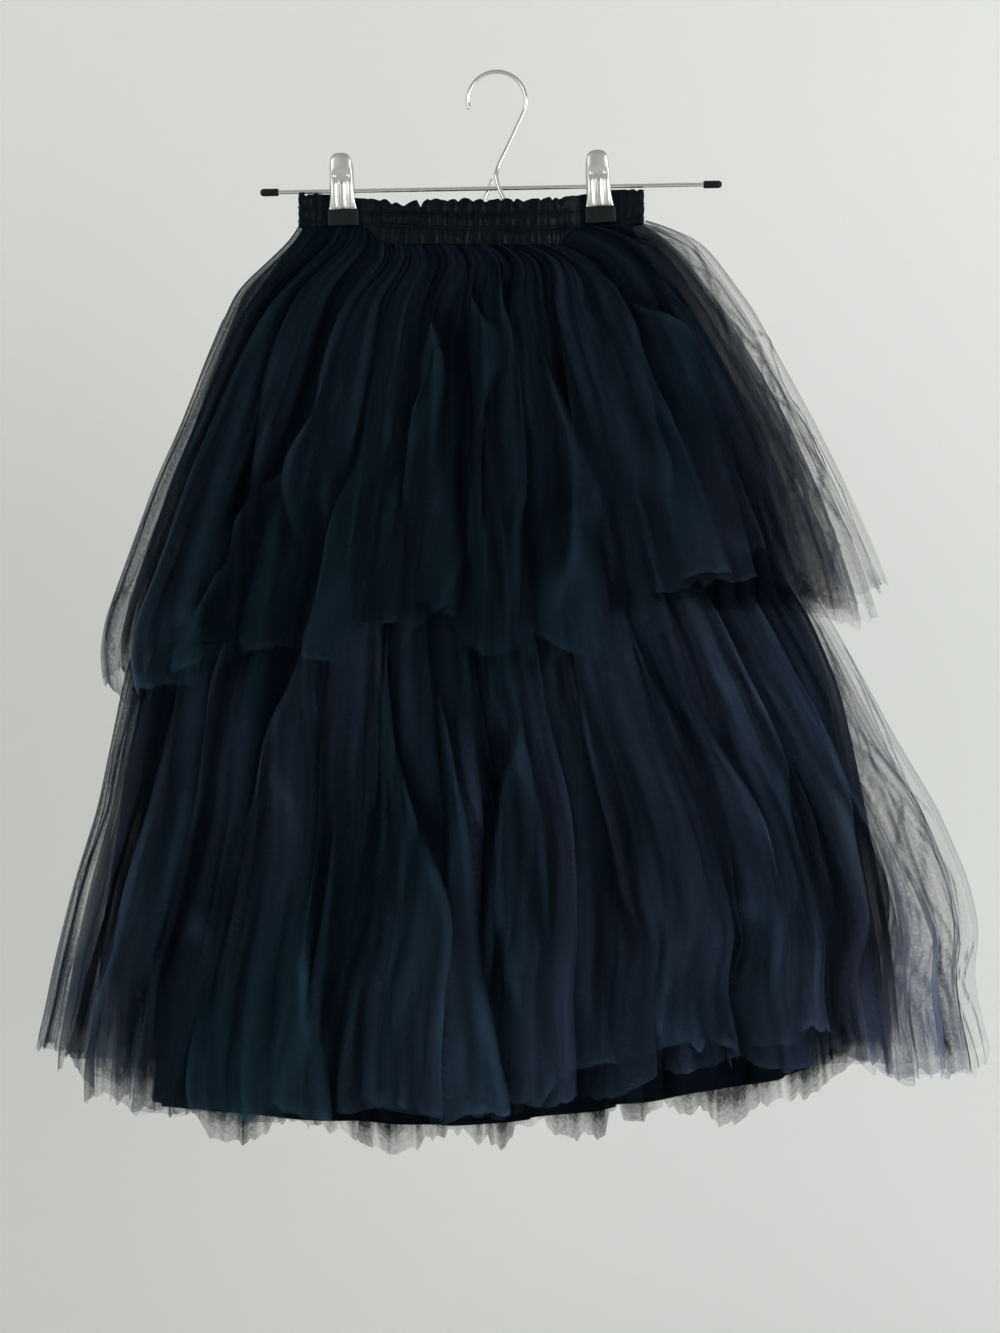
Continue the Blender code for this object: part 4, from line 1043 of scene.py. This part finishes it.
def add_garment(tulle, under_tulle, satin, thread):
    """The tulle tiers and the lining, each on its own solids' form."""
    for layer in tier_layers():
        piece = add_tier(layer, under_tulle if "under" in layer.name else tulle, "tulle")
    lining_layer = Layer(
        "lining", LINING, WAIST_SEAM, (1.0, 1.0, 0.0), 0.0,
        Half(LINING_HEM, (), uneven_folds(8, 2)), Half(LINING_HEM, (), uneven_folds(8, 4)),
        ("lining_front", "lining_back"),
    )
    lining = add_tier(lining_layer, satin, "satin")
    stitches = add_lining_stitches(lining_layer, thread)


def rings(centres, radii, side, up, sides):
    """Rings of points: centre + radius * (cos a * side + sin a * up)."""
    angle = np.linspace(0, 2 * math.pi, sides, endpoint=False)[None, :, None]
    return centres[:, None] + radii[:, None, None] * (np.cos(angle) * side + np.sin(angle) * up)


def add_wire(name, path, side, radius, sides, material):
    """A round wire: rings along a path, with its ends rounded and closed."""
    along = unit(np.gradient(path, axis=0))
    curve = np.linspace(0, math.pi / 2, 5)
    back = np.cos(curve)[:, None] * radius * 0.7
    path = np.concatenate([path[0] - along[0] * back, path, (path[-1] + along[-1] * back)[::-1]])
    radii = radius * np.concatenate([np.sin(curve), np.ones(len(along)), np.sin(curve)[::-1]])
    side, along = (
        np.concatenate([line[:1].repeat(len(curve), axis=0), line, line[-1:].repeat(len(curve), axis=0)])
        for line in (side, along)
    )
    side = unit(side - along * (side * along).sum(axis=-1, keepdims=True))
    points = rings(path, radii, side[:, None], np.cross(side, along)[:, None], sides)
    wire = add_surface(name, points, None, True, material)
    close_surface(wire)
    return wire


def turned_points(outline, tip, along, sides):
    """A turned shape: each (radius, height) of its outline carried round the line through its tip."""
    radii, heights = np.array(outline).T
    side = unit(np.cross(along, (0.0, 1.0, 0.0)))
    return rings(tip + heights[:, None] * along, radii, side, np.cross(side, along), sides)


def add_hanger(chrome, vinyl):
    """The bar, its dipped caps, and the hook whose wire loops round the bar."""
    left, right = np.array(BAR_LEFT_TIP), np.array(BAR_RIGHT_TIP)
    along = unit(right - left)
    path = np.linspace(left + along * BAR_INSET, right - along * BAR_INSET, 40)
    bar = add_wire("clip_bar", path, np.zeros_like(path) + (0.0, 1.0, 0.0), WIRE_RADIUS, 24, chrome)
    mount_piece(bar, "chrome", "hanger_bar")
    turns = np.radians(np.linspace(HOOK_OPENING_TURN, HOOK_SHANK_TURN, 20))
    centre = WIRE_RADIUS - HOOK_RADIUS
    arc = np.stack([HOOK_RADIUS * np.cos(turns), 0 * turns, centre + HOOK_RADIUS * np.sin(turns)], axis=-1)
    path = smooth_line(np.concatenate([arc, np.array(HOOK_SHANK)]), 6)
    side = unit(np.cross(np.gradient(path, axis=0), (0.0, 1.0, 0.0)))
    hook = add_wire("wire_hook", path, side, WIRE_RADIUS, 20, chrome)
    mount_piece(hook, "chrome", "hanger_hook")
    for name, tip, way in (("left", left, -along), ("right", right, along)):
        cap = add_surface(f"end_cap_{name}", turned_points(CAP_OUTLINE, tip, way, 28), None, True, vinyl)
        close_surface(cap)
        mount_piece(cap, "vinyl", f"bar_cap_{name}")


def place_on_clip(points, clip):
    """Points of an upright clip leaned round the bar's line and moved to its place."""
    left, right = np.array(BAR_LEFT_TIP), np.array(BAR_RIGHT_TIP)
    on_bar = left + (right - left) * (clip.place - left[0]) / (right[0] - left[0])
    lean = math.radians(clip.lean)
    x, y, z = np.moveaxis(points, -1, 0)
    leaned = (x * math.cos(lean) + z * math.sin(lean), y, z * math.cos(lean) - x * math.sin(lean))
    return np.stack(leaned, axis=-1) + on_bar + (0.0, 0.0, clip.hang)


def jaw_points(facing):
    """A pressed jaw: its plate stands off by the rows' table, with flanges turned in at the sides.

    Pressed into it are a dome, a middle rib with a groove on either side, and two small dimples.
    """
    steps = smooth_line(JAW_STEPS, 7)
    height, half_width, stand, flange = smooth_line(JAW_ROWS, 7).T[..., None]
    across, inward = steps[:, 0], np.clip(steps[:, 1], 0, 1)
    x = np.clip(across, -1, 1) * half_width
    from_middle = np.abs(x)
    dome = 0.9 * ease(height, 11.0, 17.0) * (1 - np.clip(across, -1, 1) ** 2)
    rim = -0.5 * bell(height - 10.0, 2.0) * (1 - across**4)
    rib = 0.95 * (1 - ease(from_middle, 1.0, 2.2))
    grooves = -0.55 * bell(from_middle - 3.4, 0.9)
    ridges = 0.45 * bell(from_middle - 6.2, 1.1)
    lower = ease(-height, -6.5, -3.5) * (1 - ease(-height, 10.5, 14.5))
    dimples = -0.9 * bell(from_middle - 5.1, 0.75) * bell(height - 10.4, 1.5)
    relief = (dome + rim + lower * (rib + grooves + ridges) + dimples) * (1 - inward)
    return np.stack([x, facing * (stand + relief - inward * flange), height + 0 * x], axis=-1)


def pad_points(facing):
    """A dipped pad: rounded oblong rings, each a superellipse |x/a|^5 + |y/b|^5 = 1, from top to bottom."""
    angle = np.linspace(0, 2 * math.pi, 96, endpoint=False)
    height, half_width, half_depth = smooth_line(PAD_ROWS, 4).T[..., None]
    x, y = (
        np.maximum(half, 0) * np.sign(wave) * np.abs(wave) ** PAD_CORNER
        for half, wave in ((half_width, np.cos(angle)), (half_depth, np.sin(angle)))
    )
    dip_line = 0.28 * ease(height, -17.5, -14.8) * np.sin(0.9 * x + 2.0 * facing)
    return np.stack([x, facing * PAD_MIDDLE + y, height + dip_line], axis=-1)


def spring_path():
    """A coil along X: (x, r cos a, r sin a), with a straight leg up from each end."""
    angle = np.linspace(0.0, 2 * math.pi * SPRING_TURNS, SPRING_TURNS * 20 + 1)
    x = np.linspace(-SPRING_LENGTH / 2, SPRING_LENGTH / 2, len(angle))
    coil = np.stack([x, SPRING_COIL * np.cos(angle), SPRING_COIL * np.sin(angle)], axis=-1)
    leg = np.linspace(1.0, 0.0, 8)[:, None] * (0.0, 1.6, -9.0)
    return np.concatenate([coil[0] + leg[:-1], coil, coil[-1] + leg[::-1][1:] * (1.0, -0.2, 1.0)])


def add_clips(plate, steel, vinyl):
    """Both clips: two pressed jaws, their dipped pads, and the coil spring round the bar."""
    for clip in CLIPS:
        for facing, way in ((-1, "front"), (1, "back")):
            name = f"clip_{clip.side}_{way}"
            jaw = add_surface(f"{name}_plate", place_on_clip(jaw_points(facing), clip), None, False, plate)
            thicken(jaw, JAW_THICKNESS)
            mount_piece(jaw, "chrome", f"{name}_jaw")
            pad = add_surface(f"{name}_grip", place_on_clip(pad_points(facing), clip), None, True, vinyl)
            close_surface(pad)
            mount_piece(pad, "vinyl", f"{name}_pad")
        path = place_on_clip(spring_path(), clip._replace(lean=0.0, hang=0.0))
        side = np.zeros_like(path) + (1.0, 0.0, 0.0)
        spring = add_wire(f"clip_{clip.side}_coil", path, side, SPRING_WIRE, 8, steel)
        mount_piece(spring, "spring", f"clip_{clip.side}_spring")


def start_material(name):
    """A new node material: itself, its tree, and its Principled shader."""
    material = bpy.data.materials.new(name)
    material.use_nodes = True
    return material, material.node_tree, material.node_tree.nodes["Principled BSDF"]


def feed(tree, node, inputs):
    """Give a node's sockets their numbers and colours, or links from other nodes."""
    for socket, value in inputs.items():
        if isinstance(value, bpy.types.NodeSocket):
            tree.links.new(value, node.inputs[socket])
        else:
            node.inputs[socket].default_value = value


def add_node(tree, kind, inputs, **settings):
    """A node of a kind with its settings made and its inputs fed. Its outputs come back."""
    node = tree.nodes.new(kind)
    for label, value in settings.items():
        setattr(node, label, value)
    feed(tree, node, inputs)
    return node.outputs


def calculate(tree, operation, first, second=0.0, clamp=False):
    """One Math node's value."""
    return add_node(tree, "ShaderNodeMath", {0: first, 1: second}, operation=operation, use_clamp=clamp)[0]


def add_noise(tree, place, scale, detail):
    """Noise round a middle of 0.5, at a place."""
    return add_node(tree, "ShaderNodeTexNoise", {"Vector": place, "Scale": scale, "Detail": detail})[0]


def stretch(tree, place, scale):
    """A place with each of its directions stretched by its own scale."""
    return add_node(tree, "ShaderNodeMapping", {"Vector": place, "Scale": scale})[0]


def add_bump(tree, height, strength, distance):
    """A normal that a height disturbs, over a distance in metres."""
    inputs = {"Height": height, "Strength": strength, "Distance": distance}
    return add_node(tree, "ShaderNodeBump", inputs)[0]


def start_group(name, place, numbers, results):
    """A new node group with a named place, named numbers and named results, and its two end nodes."""
    group = bpy.data.node_groups.new(name, "ShaderNodeTree")
    group.interface.new_socket(name=place, in_out="INPUT", socket_type="NodeSocketVector")
    for way, labels in (("INPUT", numbers), ("OUTPUT", results)):
        for label in labels:
            group.interface.new_socket(name=label, in_out=way, socket_type="NodeSocketFloat")
    return group, group.nodes.new("NodeGroupInput").outputs, group.nodes.new("NodeGroupOutput").inputs


def make_net_group():
    """Where net lies thicker or thinner: its meshes, a fine grain, and long streaks where it is bunched."""
    group, given, made = start_group("net_unevenness", "Cloth", ("Mesh Size",), ("Unevenness", "Streaks"))
    cloth = add_node(group, "ShaderNodeSeparateXYZ", {0: given["Cloth"]})
    cell = calculate(group, "DIVIDE", 2 * math.pi, given["Mesh Size"])
    run = calculate(group, "MULTIPLY", cloth[0], cell)
    rise = calculate(group, "MULTIPLY", calculate(group, "MULTIPLY", cloth[1], cell), 0.62)
    first = calculate(group, "SINE", calculate(group, "ADD", run, rise))
    second = calculate(group, "SINE", calculate(group, "SUBTRACT", run, rise))
    meshes = calculate(group, "MULTIPLY", calculate(group, "MULTIPLY", first, second), 0.22)
    grain = add_noise(group, given["Cloth"], 420.0, 0.0)
    grained = calculate(group, "ADD", calculate(group, "MULTIPLY", grain, 1.1), 0.45)
    streaks = add_noise(group, stretch(group, given["Cloth"], (105.0, 5.0, 1.0)), 1.0, 2.0)
    streaky = calculate(group, "SUBTRACT", calculate(group, "MULTIPLY", streaks, 3.6), 0.8)
    streaky = calculate(group, "MAXIMUM", streaky, 0.2)
    uneven = calculate(group, "MULTIPLY", calculate(group, "ADD", grained, meshes), streaky)
    group.links.new(uneven, made["Unevenness"])
    group.links.new(streaks, made["Streaks"])
    return group


def make_grain_group():
    """A fine grain for hard and woven surfaces: height, patches, and a roughness spread round a middle."""
    results = ("Height", "Roughness", "Patches")
    group, given, made = start_group(
        "surface_grain", "Place", ("Grain", "Patch", "Roughness", "Spread"), results
    )
    grain, patches = (add_noise(group, given["Place"], given[size], 3.0) for size in ("Grain", "Patch"))
    away = calculate(group, "SUBTRACT", calculate(group, "ADD", grain, patches), 1.0)
    spread = calculate(group, "MULTIPLY", away, given["Spread"])
    roughness = calculate(group, "ADD", spread, given["Roughness"])
    for label, value in zip(results, (grain, roughness, patches)):
        group.links.new(value, made[label])
    return group


def blend(tree, factor, first, second):
    """One colour between two by a factor, and past the second above 1. Each is three numbers or a socket."""
    first, second = (
        colour if isinstance(colour, bpy.types.NodeSocket) else (*colour, 1.0) for colour in (first, second)
    )
    inputs = {"Factor": factor, "A": first, "B": second}
    return add_node(tree, "ShaderNodeMix", inputs, data_type="RGBA", clamp_factor=False)["Result"]


def make_tulle(name, net, valley_shade_colour, thread_colour, tint_colour, coverage):
    """Fine net: see-through by its threads' coverage, and denser where it is seen at a slant.

    alpha = 1 - (1 - coverage) ^ (plies / slant ^ 0.65 * unevenness). The colour runs from a painted valley
    shade to the crests' colour by the light attribute, from teal to violet by tint, and has a painted
    highlight at fold edges seen at a slant.
    """
    material, tree, shader = start_material(name)
    cloth = add_node(tree, "ShaderNodeUVMap", {}, uv_map="cloth")[0]
    weave = add_node(tree, "ShaderNodeGroup", {"Cloth": cloth, "Mesh Size": 0.0016}, node_tree=net)
    plies, light, tint = (
        add_node(tree, "ShaderNodeAttribute", {}, attribute_name=label)["Fac"]
        for label in ("plies", "light", "tint")
    )
    facing = add_node(tree, "ShaderNodeLayerWeight", {"Blend": 0.5})["Facing"]
    slant = calculate(tree, "MAXIMUM", calculate(tree, "SUBTRACT", 1.0, facing), 0.12)
    crowded = calculate(tree, "DIVIDE", plies, calculate(tree, "POWER", slant, 0.65))
    depth = calculate(tree, "MULTIPLY", crowded, weave["Unevenness"])
    clear = calculate(tree, "POWER", 1.0 - coverage, depth)
    # Painted shade in the valleys up to the net's own colour on the crests, by the light attribute
    colour = blend(tree, light, valley_shade_colour, blend(tree, tint, thread_colour, tint_colour))
    # Painted highlight: the colour's gain rises at fold edges seen at a slant, with the streaks' tone added
    edge = calculate(tree, "MULTIPLY", calculate(tree, "POWER", facing, 4.0), 2.2)
    streak = calculate(tree, "ADD", calculate(tree, "MULTIPLY", weave["Streaks"], 1.5), 0.2)
    gain = calculate(tree, "ADD", edge, streak)
    painted_lit = add_node(tree, "ShaderNodeVectorMath", {0: colour, "Scale": gain}, operation="SCALE")[0]
    feed(tree, shader, {
        "Alpha": calculate(tree, "SUBTRACT", 1.0, clear, clamp=True),
        "Base Color": painted_lit,
        "Roughness": 0.9,
        "Specular IOR Level": 0.03,
    })
    return material


def make_satin(name, grain):
    """Black satin: a tight weave whose threads catch the light across, and faint creases."""
    material, tree, shader = start_material(name)
    cloth = add_node(tree, "ShaderNodeUVMap", {}, uv_map="cloth")[0]
    place = stretch(tree, cloth, (9.0, 26.0, 1.0))
    settings = {"Place": place, "Grain": 100.0, "Patch": 4.0, "Roughness": 0.29, "Spread": 0.18}
    weave = add_node(tree, "ShaderNodeGroup", settings, node_tree=grain)
    height = calculate(tree, "ADD", weave["Height"], calculate(tree, "MULTIPLY", weave["Patches"], 4.0))
    feed(tree, shader, {
        "Base Color": blend(tree, weave["Patches"], (0.0003, 0.0013, 0.0022), (0.0025, 0.0053, 0.0080)),
        "Roughness": weave["Roughness"],
        "Normal": add_bump(tree, height, 0.5, 0.0003),
        "Specular IOR Level": 0.05,
        "Sheen Weight": 0.02,
        "Sheen Roughness": 0.35,
    })
    return material


def make_hard(name, grain, dark, bright, settings, bump_strength, metallic, specular=0.5):
    """A hard surface in two tones, with grain in its roughness and a trace of it as bump."""
    material, tree, shader = start_material(name)
    inputs = dict(zip(("Grain", "Patch", "Roughness", "Spread"), settings))
    inputs["Place"] = add_node(tree, "ShaderNodeTexCoord", {})["Object"]
    surface = add_node(tree, "ShaderNodeGroup", inputs, node_tree=grain)
    feed(tree, shader, {
        "Base Color": blend(tree, surface["Patches"], dark, bright),
        "Roughness": surface["Roughness"],
        "Normal": add_bump(tree, surface["Height"], bump_strength, 0.0002),
        "Metallic": metallic,
        "Specular IOR Level": specular,
    })
    return material


def add_stage():
    """A pale floor that sweeps up into a plain wall behind, seen from its front only."""
    floor, wall, top, radius, half_width = -1.12, 0.62, 1.9, 0.35, 3.2
    turn = np.linspace(0, math.pi / 2, 24)
    bend = np.stack([wall - radius + radius * np.sin(turn), floor + radius - radius * np.cos(turn)], axis=-1)
    profile = np.concatenate([[(-half_width, floor)], bend, [(wall, top)]])
    points = np.zeros((len(profile), 2, 3))
    points[:, :, 0] = (half_width, -half_width)
    points[:, :, 1:] = profile[:, None, :]
    material, tree, shader = start_material("pale_paper")
    behind = add_node(tree, "ShaderNodeNewGeometry", {})["Backfacing"]
    feed(tree, shader, {
        "Base Color": (0.74, 0.745, 0.73, 1.0),
        "Roughness": 0.9,
        "Alpha": calculate(tree, "SUBTRACT", 1.0, behind),
    })
    add_surface("studio_sweep", points / MM, None, False, material)


def add_light(name, place, target, size, power, colour):
    """A soft square light at a place, turned to a target."""
    data = bpy.data.lights.new(name, "AREA")
    data.shape = "SQUARE"
    data.size = size
    data.energy = power
    data.color = colour
    light = bpy.data.objects.new(name, data)
    bpy.context.scene.collection.objects.link(light)
    away = np.array(place, float) - np.array(target, float)
    flat = math.hypot(away[0], away[1])
    light.location = place
    light.rotation_euler = (math.atan2(flat, away[2]), 0.0, math.atan2(away[0], -away[1]))


def add_studio():
    """The camera at the photograph's angle, soft light mostly from the right, and a pale surround."""
    data = bpy.data.cameras.new("camera")
    data.lens = 67.7
    data.sensor_width = 36.0
    camera = bpy.data.objects.new("camera", data)
    camera.location = (0.0023, -1.9, -0.4493)
    camera.rotation_euler = (math.pi / 2, 0.0, 0.0)
    bpy.context.scene.collection.objects.link(camera)
    bpy.context.scene.camera = camera
    middle = (0.0, 0.0, -0.45)
    add_light("window_light", (1.9, -1.5, -0.1), middle, 1.4, 40.0, (0.97, 1.0, 0.98))
    add_light("fill_light", (-1.7, -1.9, 0.1), middle, 1.8, 21.0, (1.0, 0.99, 0.97))
    add_light("back_light", (0.6, 1.9, 0.9), middle, 1.8, 14.0, (1.0, 1.0, 1.0))
    world = bpy.data.worlds.new("pale_room")
    world.use_nodes = True
    world.node_tree.nodes["Background"].inputs["Color"].default_value = (0.80, 0.81, 0.80, 1.0)
    world.node_tree.nodes["Background"].inputs["Strength"].default_value = 0.55
    bpy.context.scene.world = world
    bpy.context.scene.view_settings.view_transform = "Standard"
    bpy.context.scene.cycles.transparent_max_bounces = 32


def main():
    """Make the materials, dress the solids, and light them."""
    net, grain = make_net_group(), make_grain_group()
    # The first colour is the painted shade in the net's valleys
    valley_shade, teal, violet = (0.0002, 0.0010, 0.0028), (0.0100, 0.0255, 0.0395), (0.0230, 0.0305, 0.0540)
    tulle = make_tulle("navy_net", net, valley_shade, teal, violet, 0.23)
    # A copy of the net with its colours painted darker, as painted shade for the under plies deep inside
    valley_shade, teal, violet = (0.0001, 0.0007, 0.0017), (0.0010, 0.0040, 0.0056), (0.0024, 0.0046, 0.0090)
    under_tulle = make_tulle("navy_net_painted_shade", net, valley_shade, teal, violet, 0.27)
    satin = make_satin("black_satin_cloth", grain)
    thread = make_hard(
        "black_sewing_thread", grain, (0.0012, 0.0020, 0.0026), (0.0050, 0.0070, 0.0085),
        (2600.0, 300.0, 0.6, 0.3), 0.4, 0.0, 0.15,
    )
    vinyl = make_hard(
        "dipped_vinyl", grain, (0.0022, 0.0038, 0.0040), (0.0058, 0.0084, 0.0088),
        (1500.0, 240.0, 0.42, 0.22), 0.2, 0.0, 0.16,
    )
    wire_look, clip_look = (900.0, 60.0, 0.17, 0.12), (700.0, 90.0, 0.36, 0.16)
    spring_look = (700.0, 60.0, 0.32, 0.12)
    chrome = make_hard("chromed_wire", grain, (0.72, 0.72, 0.70), (0.60, 0.60, 0.58), wire_look, 0.12, 1.0)
    plate = make_hard("clip_plate_steel", grain, (0.60, 0.61, 0.59), (0.50, 0.51, 0.49), clip_look, 0.2, 1.0)
    steel = make_hard("spring_wire", grain, (0.45, 0.45, 0.44), (0.37, 0.37, 0.36), spring_look, 0.12, 1.0)
    add_garment(tulle, under_tulle, satin, thread)
    add_waistband(satin, thread)
    add_hanger(chrome, vinyl)
    add_clips(plate, steel, vinyl)
    add_stage()
    add_studio()


main()
